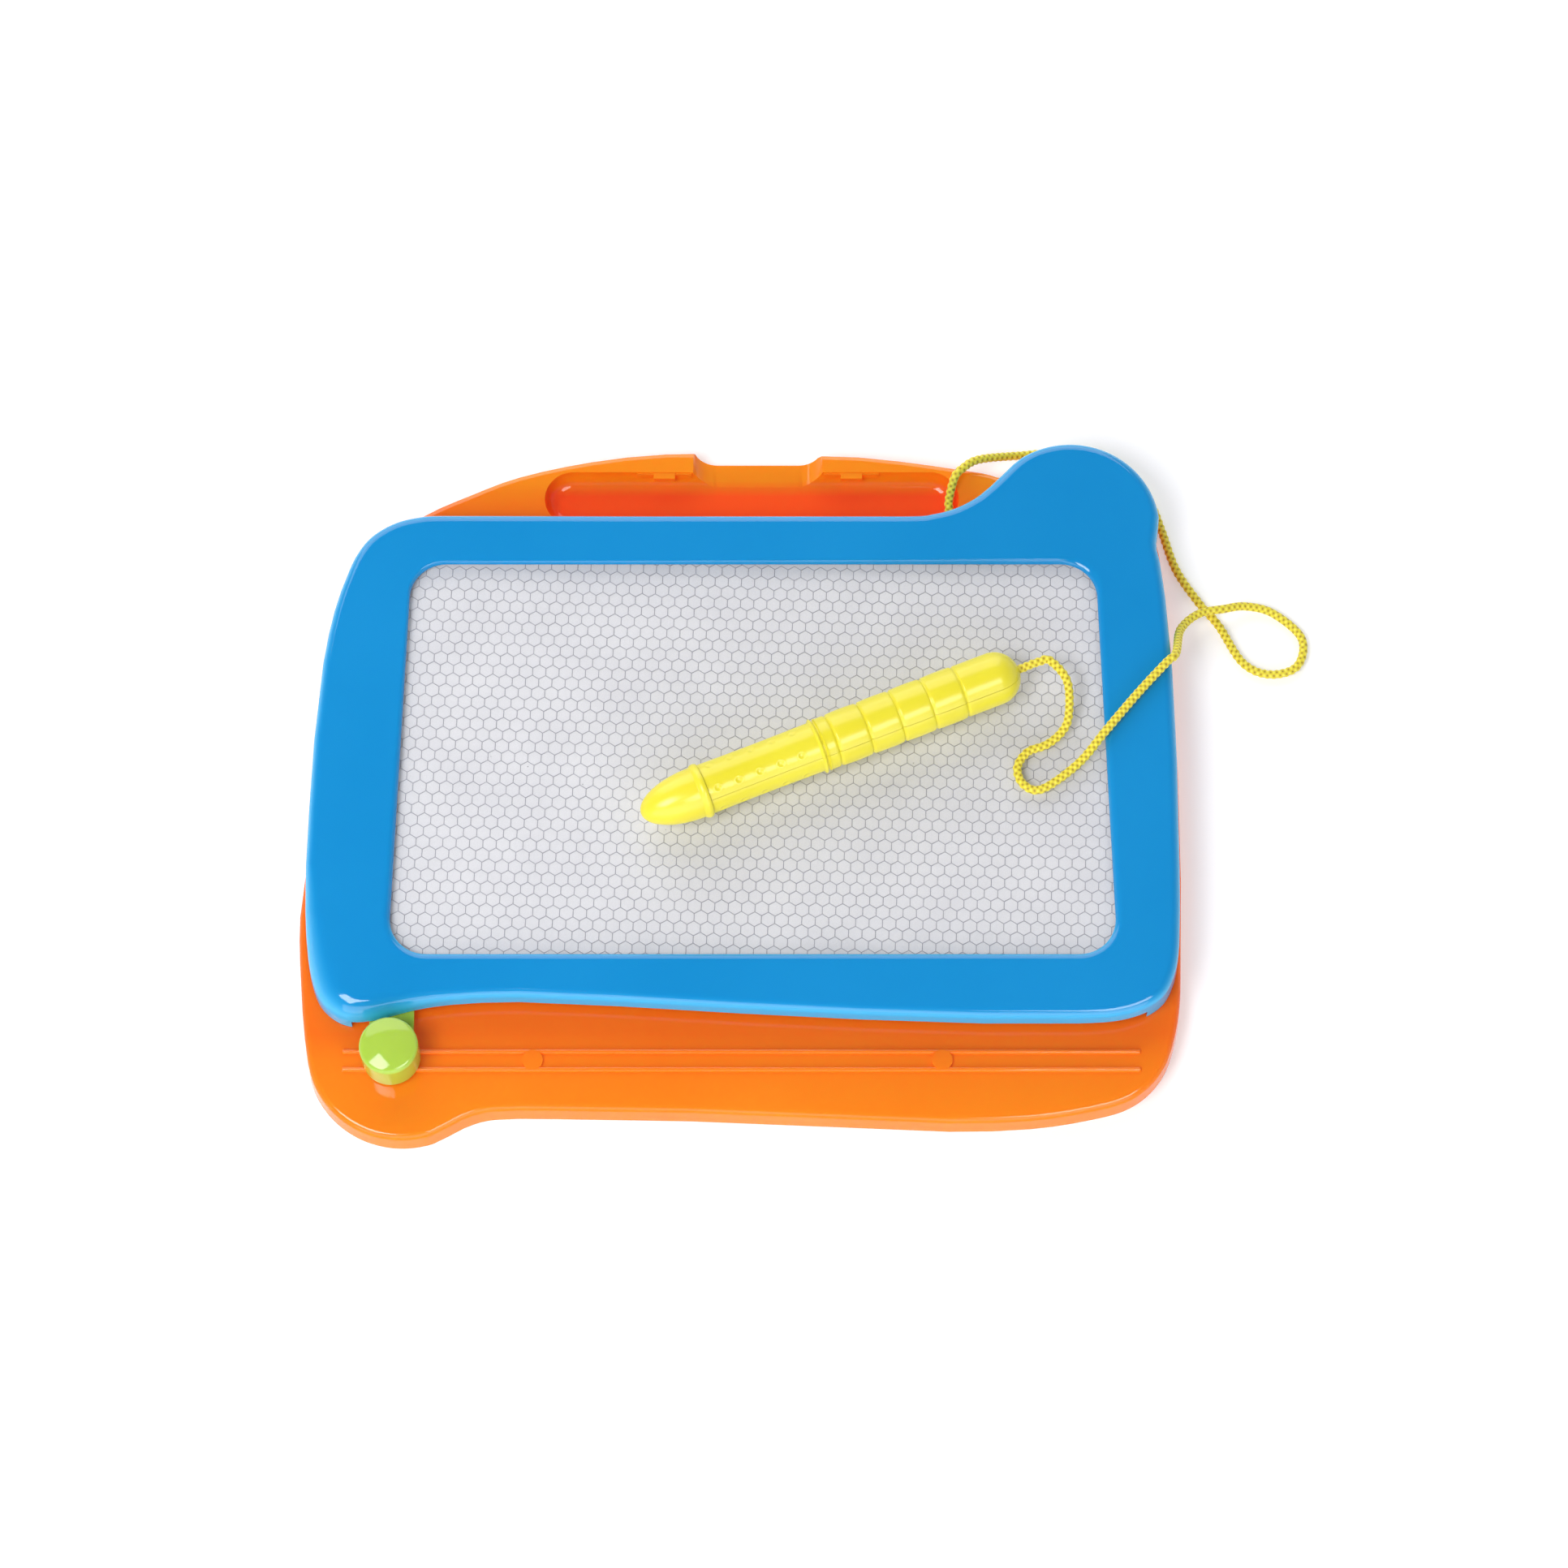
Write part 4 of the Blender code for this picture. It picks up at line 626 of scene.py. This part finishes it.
def makeBase():
    outline = boardOutline(baseShares)
    height, wall, draft = base["height"], base["wall"], math.tan(math.radians(base["draft"]))
    straight = height - base["edge"]
    shell = steppedSolid("orangeBase", outline, 0.0, [(straight * draft, straight), *rounding(base["edge"])],
                         orangeAbs)
    under = height - wall
    above, over = under + overrun, height + overrun
    hollow = steppedSolid("hollow", grown(outline, -wall), -overrun, [(above * draft, above)])
    centre = Vector(tray["centre"])
    half, low = base["ribWidth"] / 2, under - base["ribDepth"]
    side, front = board["halfLength"] + overrun, -board["halfDepth"] - overrun
    standing = [box("rib", (x - half, front, low), (x + half, tray["middle"], above)) for x in base["ribX"]]
    standing += [box("rib", (-side, y - half, low), (side, y + half, above)) for y in base["ribY"]]
    standing.append(cylinders("posts", screw["places"], screw["post"], -2 * overrun, above))
    skin, skinFloor = tray["skin"], tray["floor"] - tray["skin"]
    skinRounding = tray["rounding"] - skinFloor
    skinLoop = stadium(centre, tray["halfLength"] + skin, tray["radius"] + skin)
    skinSteps = [(0.0, above - skinFloor - skinRounding), *rounding(skinRounding)]
    standing.append(steppedSolid("traySkin", skinLoop, above, skinSteps, downwards=True))
    skinHalf = tray["scoopTop"] / 2 + skin
    standing.append(box("scoopSkin", (tray["scoopX"] - skinHalf, tray["middle"], tray["scoopFloor"] - skin),
                        (tray["scoopX"] + skinHalf, tray["skinBack"], above)))
    combine(hollow, standing)
    bowl = steppedSolid("bowl", stadium(centre, tray["halfLength"], tray["radius"]), over,
                        [(0.0, over - tray["floor"] - tray["rounding"]), *rounding(tray["rounding"], 10)],
                        downwards=True)
    sweep = sweptSide(board["halfDepth"] - tray["scoopNotch"], tray["scoopNotch"] + overrun)
    notch = prism("notch", [Vector((tray["scoopX"] - x, y)) for x, y in reversed(sweep)]
                  + [Vector((tray["scoopX"] + x, y)) for x, y in sweep], -overrun, over)
    combine(shell, [hollow, bowl, scoopCutter(), notch])
    back = tray["centre"][1] + tray["radius"]
    raised = []
    for way in (-1, 1):
        x = tray["scoopX"] + way * clips["spacing"] / 2
        for name in ("clipPad", "clip"):
            width, reach, bottom, top, root = clips[name]
            raised.append(box(name, (x - width / 2, back - reach, height - bottom),
                              (x + width / 2, back + root, height - top)))
    for way in (-1, 1):
        y = base["railY"] + way * base["railSpacing"] / 2
        raised.append(box("rail", (base["railEnds"][0], y - base["railWidth"] / 2, height - overrun),
                          (base["railEnds"][1], y + base["railWidth"] / 2, height + base["railHeight"]),
                          edge=base["railCrown"]))
    raised.append(cylinders("pads", [(x, base["railY"]) for x in base["pads"]], base["padRadius"],
                            height - overrun, height + base["padHeight"]))
    combine(shell, raised, "UNION")
    bores = cylinders("bores", screw["places"], screw["bore"], screw["seat"] - overrun, over, screw["sides"])
    heads = cylinders("heads", screw["places"], screw["head"], -overrun, screw["seat"], screw["sides"])
    outlet = cylinders("outlet", [(0, 0)], cordHole["radius"], 0, cordHole["length"], screw["sides"])
    outlet.matrix_world = (Matrix.Translation(Vector(cordHole["place"]) * mm)
                           @ Matrix.Rotation(math.radians(cordHole["rise"] - 90), 4, "X"))
    combine(shell, [bores, heads, outlet])
    softenEdges(shell, base["edgeSoftness"])
    finishPiece(shell, "board", "orange_plastic", "base_shell")


makeBase()
print("base made")


# Frame: rounded rim, window with a rolled edge, slot for the slider, bosses and locating rib inside
rim = {"bottom": 9.3, "height": 10.7, "wall": 2.0, "edge": 3.0, "cornerEdge": 8.0, "corner": (-124.0, -66.0),
       "cornerReach": 42.0, "draft": 3.0, "slotX": (-115.577, 120.897), "slotFront": -77.196,
       "slotBehind": 2.2, "slotHeight": 4.2, "ribBottom": 14.3, "ribWidth": 1.2, "screenGap": 0.3,
       "edgeSoftness": 0.25, "edgeSteps": 12, "hollowSteps": 4}
window = {"centre": (3.591, 6.501), "frontWidth": 217.0, "backWidth": 209.0, "depth": 125.0, "radius": 11.0,
          "edge": 1.5, "backRoll": 0.8, "frontRoll": 1.8, "glint": (104.5, 65.5), "glintRoll": 2.4,
          "glintReach": 13.0, "rollSteps": 8, "screenHalf": (112.5, 66.5), "screenRadius": 4.0}


def centredLoop(front, back, deep, radius, steps=12):  # half widths at the front and back, and half depth
    x, y = window["centre"]
    corners = ((-front, -deep), (front, -deep), (back, deep), (-back, deep))
    return roundedCorners([Vector((x + across, y + away)) for across, away in corners], radius, steps)


def screenLoop(growth=0.0):
    wide, deep = window["screenHalf"]
    return grown(centredLoop(wide, wide, deep, window["screenRadius"], 6), growth)


def roundedSlab(name, outline, bottom, top, edges, draft, steps, material=None):
    # drafted walls and a quarter round at the top, with its own radius at each point of the outline
    rings = [[(*point, bottom) for point in outline]]
    for step in range(steps + 1):
        lean = math.pi / 2 * step / steps
        insets = [-(top - edge - bottom) * draft - edge * (1 - math.cos(lean)) for edge in edges]
        rings.append([(*point, top - edge + edge * math.sin(lean))
                      for point, edge in zip(grown(outline, insets), edges)])
    return lofted(name, rings, material)


def makeFrame():
    outline = boardOutline(frameShares)
    bottom, wall, draft = rim["bottom"], rim["wall"], math.tan(math.radians(rim["draft"]))
    top = bottom + rim["height"]
    corner, extra = Vector(rim["corner"]), rim["cornerEdge"] - rim["edge"]
    edges = [rim["edge"] + extra * hump((point - corner).length, rim["cornerReach"]) for point in outline]
    shell = roundedSlab("blueFrame", outline, bottom, top, edges, draft, rim["edgeSteps"], blueAbs)
    under = top - wall
    above, below, sides = under + overrun, bottom - overrun, screw["sides"]
    hollow = roundedSlab("hollow", grown(outline, -wall), below, under, [edge - wall for edge in edges],
                         draft, rim["hollowSteps"])
    bosses = cylinders("bosses", screw["places"], screw["boss"], below - overrun, above, sides)
    gap, low = rim["screenGap"], rim["ribBottom"]
    rib = prism("rib", screenLoop(gap + rim["ribWidth"]), low, above)
    combine(rib, [prism("ribHole", screenLoop(gap), low - overrun, above + overrun)])
    combine(hollow, [bosses, rib])
    # the window's rolled edge is widest along the front and in the corner that takes a highlight
    loop = centredLoop(window["frontWidth"] / 2, window["backWidth"] / 2, window["depth"] / 2,
                       window["radius"])
    edge, steps, glint = window["edge"], window["rollSteps"], Vector(window["glint"])
    behind = window["centre"][1] + window["depth"] / 2
    rolls = [window["backRoll"] + window["frontRoll"] * (behind - point.y) / window["depth"]
             + window["glintRoll"] * hump((point - glint).length, window["glintReach"]) for point in loop]
    rings = [[(*point, under - overrun) for point in loop]]
    for step in range(steps + 1):
        lean = math.pi / 2 * step / steps
        wider = grown(loop, [roll * (1 - math.cos(lean)) for roll in rolls])
        rings.append([(*point, top - edge + edge * math.sin(lean)) for point in wider])
    rings.append([(x, y, top + overrun) for x, y, _ in rings[-1]])
    opening = lofted("opening", rings)
    slotBack = window["centre"][1] - window["screenHalf"][1] - rim["slotBehind"]
    slot = box("slot", (rim["slotX"][0], rim["slotFront"], below),
               (rim["slotX"][1], slotBack, bottom + rim["slotHeight"]))
    pilots = cylinders("pilots", screw["places"], screw["bore"], below,
                       bottom + screw["reach"] + overrun, sides)
    combine(shell, [hollow, opening, slot, pilots])
    softenEdges(shell, rim["edgeSoftness"], 2)
    finishPiece(shell, "board", "blue_plastic", "frame_shell")


makeFrame()
print("frame made")


# Screen: white fluid in honeycomb cells under a clear film
cells = {"pitch": 4.02, "turn": -2.0, "shift": (0.35, 1.5), "wall": 0.32, "wallTop": 16.15,
         "fluidTop": 15.95, "bottom": 15.0, "margin": 1.0, "rows": 45, "columns": 36}


def makeScreen():
    fluid = prism("cellFluid", screenLoop(), cells["bottom"], cells["fluidTop"], cellFluid)
    finishPiece(fluid, "board", "cell_sheet", "screen_cell_sheet")
    side = cells["pitch"] / math.sqrt(3)
    turn = Matrix.Rotation(math.radians(cells["turn"]), 2)
    centreX, centreY = window["centre"]
    wide, deep = (half - cells["margin"] for half in window["screenHalf"])
    spokes = [turn @ Vector((side * math.sin(math.pi / 3 * k), side * math.cos(math.pi / 3 * k)))
              for k in range(6)]
    bm = bmesh.new()
    corners = {}

    def corner(x, y):
        key = (round(x, 2), round(y, 2))
        if key not in corners:
            corners[key] = bm.verts.new((centreX + x, centreY + y, cells["wallTop"] - cells["wall"] / 2))
        return corners[key]

    for row in range(-cells["rows"], cells["rows"] + 1):
        for column in range(-cells["columns"], cells["columns"] + 1):
            middle = turn @ Vector(((column + row % 2 / 2) * cells["pitch"], row * side * 1.5))
            middle += Vector(cells["shift"])
            ring = [middle + spoke for spoke in spokes]
            if all(abs(p.x) < wide and abs(p.y) < deep for p in ring):
                bm.faces.new([corner(*p) for p in reversed(ring)])
    lattice = newPiece("cellWalls", bm, cellWall)
    wire = lattice.modifiers.new("walls", "WIREFRAME")
    wire.thickness = cells["wall"] * mm
    wire.use_even_offset = False
    wire.use_boundary = True
    settle(lattice)
    finishPiece(lattice, "board", "cell_sheet")


makeScreen()
print("screen made")


# Eraser: round knob, arm through the slot and bar behind the screen
eraser = {"knob": (-103.677, -85.246), "radius": 8.75, "bottom": 10.3, "height": 14.0, "edge": 1.6,
          "crown": 22.0, "capSteps": 12, "edgeSteps": 10, "sides": 96, "wall": 1.9, "topWall": 2.9,
          "hollowBottom": 9.0, "hollowSides": 64, "armWidth": 13.2, "armStart": 3.5, "armHeight": (9.7, 12.9),
          "barWidth": 8.0, "barEnds": (-57.999, 71.001), "barHeight": (9.6, 13.8), "channelHalf": 2.8,
          "channelEnd": 1.2, "channelHeight": (11.5, 15.0), "edgeSoftness": 0.35}


def makeEraser():
    x, y = eraser["knob"]
    front, back = eraser["barEnds"]
    halfBar, halfArm = eraser["barWidth"] / 2, eraser["armWidth"] / 2
    (low, high), (armLow, armHigh) = eraser["barHeight"], eraser["armHeight"]
    slider = box("greenEraser", (x - halfBar, front, low), (x + halfBar, back, high), greenAbs)
    arm = box("arm", (x - halfArm, y + eraser["armStart"], armLow), (x + halfArm, front + halfBar, armHigh))
    # the knob's top is part of a ball, which runs into a rounded edge
    radius, edge, crown = eraser["radius"], eraser["edge"], eraser["crown"]
    top = eraser["bottom"] + eraser["height"]
    meet = math.asin((radius - edge) / (crown - edge))
    capSteps, edgeSteps = eraser["capSteps"], eraser["edgeSteps"]
    leans = [meet * step / capSteps for step in range(1, capSteps)]
    profile = [(top, 0)] + [(top - crown * (1 - math.cos(a)), crown * math.sin(a)) for a in leans]
    edgeMiddle = top - crown + (crown - edge) * math.cos(meet)
    leans = [meet + (math.pi / 2 - meet) * step / edgeSteps for step in range(edgeSteps + 1)]
    profile += [(edgeMiddle + edge * math.cos(a), radius - edge + edge * math.sin(a)) for a in leans]
    knob = turnedSolid("knob", [*profile, (eraser["bottom"], radius), (eraser["bottom"], 0)], eraser["sides"])
    knob.matrix_world = Matrix.Translation((x * mm, y * mm, 0))
    combine(slider, [arm, knob], "UNION")
    hollow = cylinders("hollow", [(x, y)], radius - eraser["wall"], eraser["hollowBottom"],
                       top - eraser["topWall"], eraser["hollowSides"])
    half, inset, (low, high) = eraser["channelHalf"], eraser["channelEnd"], eraser["channelHeight"]
    channel = box("channel", (x - half, front + inset, low), (x + half, back - inset, high))
    combine(slider, [hollow, channel])
    softenEdges(slider, eraser["edgeSoftness"])
    finishPiece(slider, "eraser", "green_plastic", "eraser_slider")


makeEraser()
print("eraser made")


# Pen: domed nose with its ring, and a barrel in two halves with grip pits, a ring and four swelling bands
pen = {"length": 122.5, "radius": 7.8, "noseLength": 20.4, "noseDome": 17.5, "noseRing": 8.5,
       "noseRingFromEnd": 1.0, "spigotGap": 0.3, "spigotLength": 6.5, "tailRadius": 8.1, "tailStart": 56.0,
       "tailDome": 8.0, "tailHole": 1.7, "wall": 1.4, "innerLeast": 0.6, "barrelGap": 0.15, "station": 0.33,
       "domeSteps": 40, "collarSteps": 20, "tailSteps": 30, "sides": 120, "halfSides": 90, "innerEvery": 10,
       "seamGap": 0.12, "seamRoll": 48.0, "tip": (-29.8053, -14.3975, 25.9), "heading": 22.1}
grip = {"slack": 0.1, "waist": 0.12, "waistStart": 21.0, "waistLength": 34.0, "pitRadius": 1.25,
        "pitEdge": 0.95, "pitDepth": 0.22, "lipReach": 0.35, "lipShare": 0.45, "pitSpacing": 6.73,
        "pitStart": 23.6, "pitsInRow": 5, "pitRows": 6, "pitTurn": -22.9}
bands = {"ringRadius": 8.6, "ringFromStart": 1.0, "ringHalf": 1.6, "ringEdge": 0.6, "ringRise": 0.5,
         "ringFoot": 1.9, "start": 2.0, "firstGroove": 61.9, "grooveSpacing": 10.3, "grooves": 5,
         "swell": 0.2, "grooveDepth": 0.45, "grooveHalf": 0.6}
plumpness = {"noseRing": 0.6, "ring": 0.35, "swell": 0.7}  # powers under 1 fill a hump out


def penMatrix():
    heading, roll = math.radians(pen["heading"]), math.radians(pen["seamRoll"])
    ahead = Vector((math.cos(heading), math.sin(heading), 0))
    side = Vector((math.sin(heading), -math.cos(heading), 0))
    seam = math.cos(roll) * Vector((0, 0, 1)) + math.sin(roll) * side
    turn = Matrix((seam, ahead.cross(seam), ahead)).transposed().to_4x4()
    return Matrix.Translation(Vector(pen["tip"]) * mm) @ turn


def domeRadius(share, radius):  # share: 0 where the dome starts and 1 at its end
    return radius * math.sqrt(max(0.0, 1 - share * share))


def noseRadius(z):
    body = domeRadius(max(0.0, 1 - z / pen["noseDome"]), pen["radius"])
    ringMiddle = pen["noseLength"] - pen["noseRingFromEnd"]
    ring = hump(z - ringMiddle, bands["ringHalf"]) ** plumpness["noseRing"]
    return body + (pen["noseRing"] - pen["radius"]) * ring


def barrelRadius(z, angle):
    tailEnd = pen["length"] - pen["tailDome"]
    fromRing = z - pen["tailStart"] - bands["ringFromStart"]
    if z > tailEnd:
        return domeRadius((z - tailEnd) / pen["tailDome"], pen["tailRadius"])
    if z >= pen["tailStart"] + bands["start"]:
        place = (z - bands["firstGroove"]) / bands["grooveSpacing"]
        last = bands["grooves"] - 1
        number = min(last, max(0, round(place)))
        groove = bands["grooveDepth"] * hump((place - number) * bands["grooveSpacing"], bands["grooveHalf"])
        swell = 0.0  # the short band and the tail are straight
        if 0 < place < last:
            swell = bands["swell"] * math.sin(math.pi * (place % 1.0)) ** plumpness["swell"]
        ring = bands["ringRise"] * hump(fromRing, bands["ringFoot"])
        return pen["tailRadius"] + swell - groove + ring
    waist = min(1.0, max(0.0, (z - grip["waistStart"]) / grip["waistLength"]))
    radius = pen["radius"] - grip["slack"] - grip["waist"] * math.sin(math.pi * waist)
    if z > pen["tailStart"] - bands["ringEdge"]:
        radius = max(radius, bands["ringRadius"] * hump(fromRing, bands["ringHalf"]) ** plumpness["ring"])
    row = 2 * math.pi / grip["pitRows"]
    around = angle - math.radians(grip["pitTurn"])
    around = (around - row * round(around / row)) * radius
    number = max(0, min(grip["pitsInRow"] - 1, round((z - grip["pitStart"]) / grip["pitSpacing"])))
    along = z - grip["pitStart"] - number * grip["pitSpacing"]
    away = math.hypot(around, along) / grip["pitRadius"]
    if away < 1 + grip["lipReach"]:  # a pit with a raised lip
        lip = grip["lipShare"] * hump(away - 1.0, grip["lipReach"])
        radius += grip["pitDepth"] * (lip - hump(away, grip["pitEdge"]))
    return radius


def halfShell(name, stations, turns, material):
    # a barrel half: outer and plainer inner wall, joined along their borders
    bm = bmesh.new()
    walls = []
    for depth, spokes in ((0.0, turns), (pen["wall"], turns[::pen["innerEvery"]])):
        wall = []
        for z in stations:
            ring = []
            for angle in spokes:
                radius = max(pen["innerLeast"], barrelRadius(z, angle) - depth)
                ring.append(bm.verts.new((radius * math.cos(angle), radius * math.sin(angle), z)))
            wall.append(ring)
        walls.append(wall)
    strips = [*zip(walls[0], walls[0][1:]), *zip(walls[1], walls[1][1:])]
    strips += [([ring[end] for ring in walls[0]], [ring[end] for ring in walls[1]]) for end in (0, -1)]
    for first, second in strips:
        for a, b, c, d in zip(first, first[1:], second[1:], second):
            bm.faces.new((a, b, c, d))
    for end in (0, -1):
        bm.faces.new([*walls[0][end], *reversed(walls[1][end])])
    return newPiece(name, bm, material, "round")


def makePen():
    matrix = penMatrix()
    dome, end, steps, more = pen["noseDome"], pen["noseLength"], pen["domeSteps"], pen["collarSteps"]
    domed = [dome * (1 - math.cos(math.pi / 2 * step / steps)) for step in range(1, steps + 1)]
    domed += [dome + (end - dome) * step / more for step in range(1, more + 1)]
    spigot = pen["radius"] - pen["wall"] - pen["spigotGap"]
    inside = end + pen["spigotLength"]
    profile = [(0, 0), *((z, noseRadius(z)) for z in domed), (end, spigot), (inside, spigot), (inside, 0)]
    nose = turnedSolid("penNose", profile, pen["sides"], limeAbs)
    nose.data.transform(matrix)
    finishPiece(nose, "pen", "lime_plastic", "pen_nose")
    start, tailEnd = end + pen["barrelGap"], pen["length"] - pen["tailDome"]
    straight = int((tailEnd - start) / pen["station"])
    stations = [start + (tailEnd - start) * step / straight for step in range(straight + 1)]
    last, steps, sides = math.acos(pen["tailHole"] / pen["tailRadius"]), pen["tailSteps"], pen["halfSides"]
    stations += [tailEnd + pen["tailDome"] * math.sin(last * step / steps) for step in range(1, steps + 1)]
    gap = pen["seamGap"] / 2 / pen["radius"]
    for name, node, first in (("penBarrelUpper", "pen_barrel_upper", math.pi),
                              ("penBarrelLower", "pen_barrel_lower", 0)):
        spokes = [first + gap + (math.pi - 2 * gap) * step / sides for step in range(sides + 1)]
        half = halfShell(name, stations, spokes, limeAbs)
        half.data.transform(matrix)
        finishPiece(half, "pen", "lime_plastic", node)


makePen()
print("pen made")


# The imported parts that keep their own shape
ownShape = {"screen_front_film": clearFilm, "screen_back_film": whiteFilm, "screen_tape": foamTape,
            "eraser_magnet": ferrite, "pen_magnet": ferrite}
ownShape.update((f"housing_screw_{number}", zincSteel) for number in range(1, 9))
for node, material in ownShape.items():
    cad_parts[node].data.materials.clear()
    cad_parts[node].data.materials.append(material)


# Floor, lamps and surroundings
studio = {
    "floor": {"size": 4000, "shade": "#E6E6E8", "lift": 0.33},
    "key": {"place": (-520, -440, 1170), "size": (560, 560), "power": 9.5},
    "frontCard": {"place": (0, -1450, 640), "size": (2600, 1050), "power": 17.0},
    "backCard": {"place": (-300, 1450, 880), "size": (2200, 1450), "power": 20.0},
    # a lamp that only shows as the highlight along the pen
    "penGlow": {"place": (450, -640, 1060), "size": (620, 460), "power": 6.0, "onlyGloss": True},
    # white walls round the table and a darker ceiling
    "room": [(0.0, (0.9, 0.9, 0.9, 1)), (0.3, (0.5, 0.5, 0.51, 1)), (0.6, (0.2, 0.2, 0.21, 1)),
             (1.0, (0.15, 0.15, 0.16, 1))],
}


def makeFloor():
    # Matt white sweep: lifted for the eye and in reflections, so that only the soft shadow shows on it
    values = studio["floor"]
    half = values["size"] / 2
    bm = bmesh.new()
    corners = ((-half, -half), (half, -half), (half, half), (-half, half))
    bm.faces.new([bm.verts.new((x, y, 0)) for x, y in corners])
    material, tree, shader = newMaterial("matt_white_sweep", {
        "Base Color": colour(values["shade"]), "Roughness": 1.0, "Specular IOR Level": 0.0,
        "Emission Color": colour("#FFFFFF")})
    path = addNode(tree, "ShaderNodeLightPath", {})
    shiny = maths(tree, "ADD", path["Is Glossy Ray"], path["Is Transmission Ray"])
    seen = maths(tree, "ADD", path["Is Camera Ray"], shiny, clamp=True)
    lift = maths(tree, "MULTIPLY", seen, values["lift"])
    tree.links.new(lift, shader.inputs["Emission Strength"])
    floor = newPiece("floor", bm, material)
    if floor.data.polygons[0].normal.z < 0:
        floor.data.flip_normals()


def makeLamps():
    for name in ("key", "frontCard", "backCard", "penGlow"):
        values = studio[name]
        lamp = bpy.data.lights.new(name, "AREA")
        lamp.shape = "RECTANGLE"
        lamp.size, lamp.size_y = (side * mm for side in values["size"])
        lamp.energy = values["power"]
        holder = bpy.data.objects.new(name, lamp)
        holder.location = Vector(values["place"]) * mm
        holder.rotation_euler = holder.location.to_track_quat("Z", "Y").to_euler()
        holder.visible_diffuse = not values.get("onlyGloss", False)
        bpy.context.scene.collection.objects.link(holder)
    world = bpy.data.worlds.new("studio_room")
    bpy.context.scene.world = world
    world.use_nodes = True
    tree = world.node_tree
    height = axes(tree, coordinate(tree, "Generated"))["Z"]
    walls = addNode(tree, "ShaderNodeValToRGB", {"stops": studio["room"], "Fac": height})["Color"]
    tree.links.new(walls, tree.nodes["Background"].inputs["Color"])


makeFloor()
makeLamps()
bpy.context.scene.view_settings.view_transform = "Standard"
print("studio made")
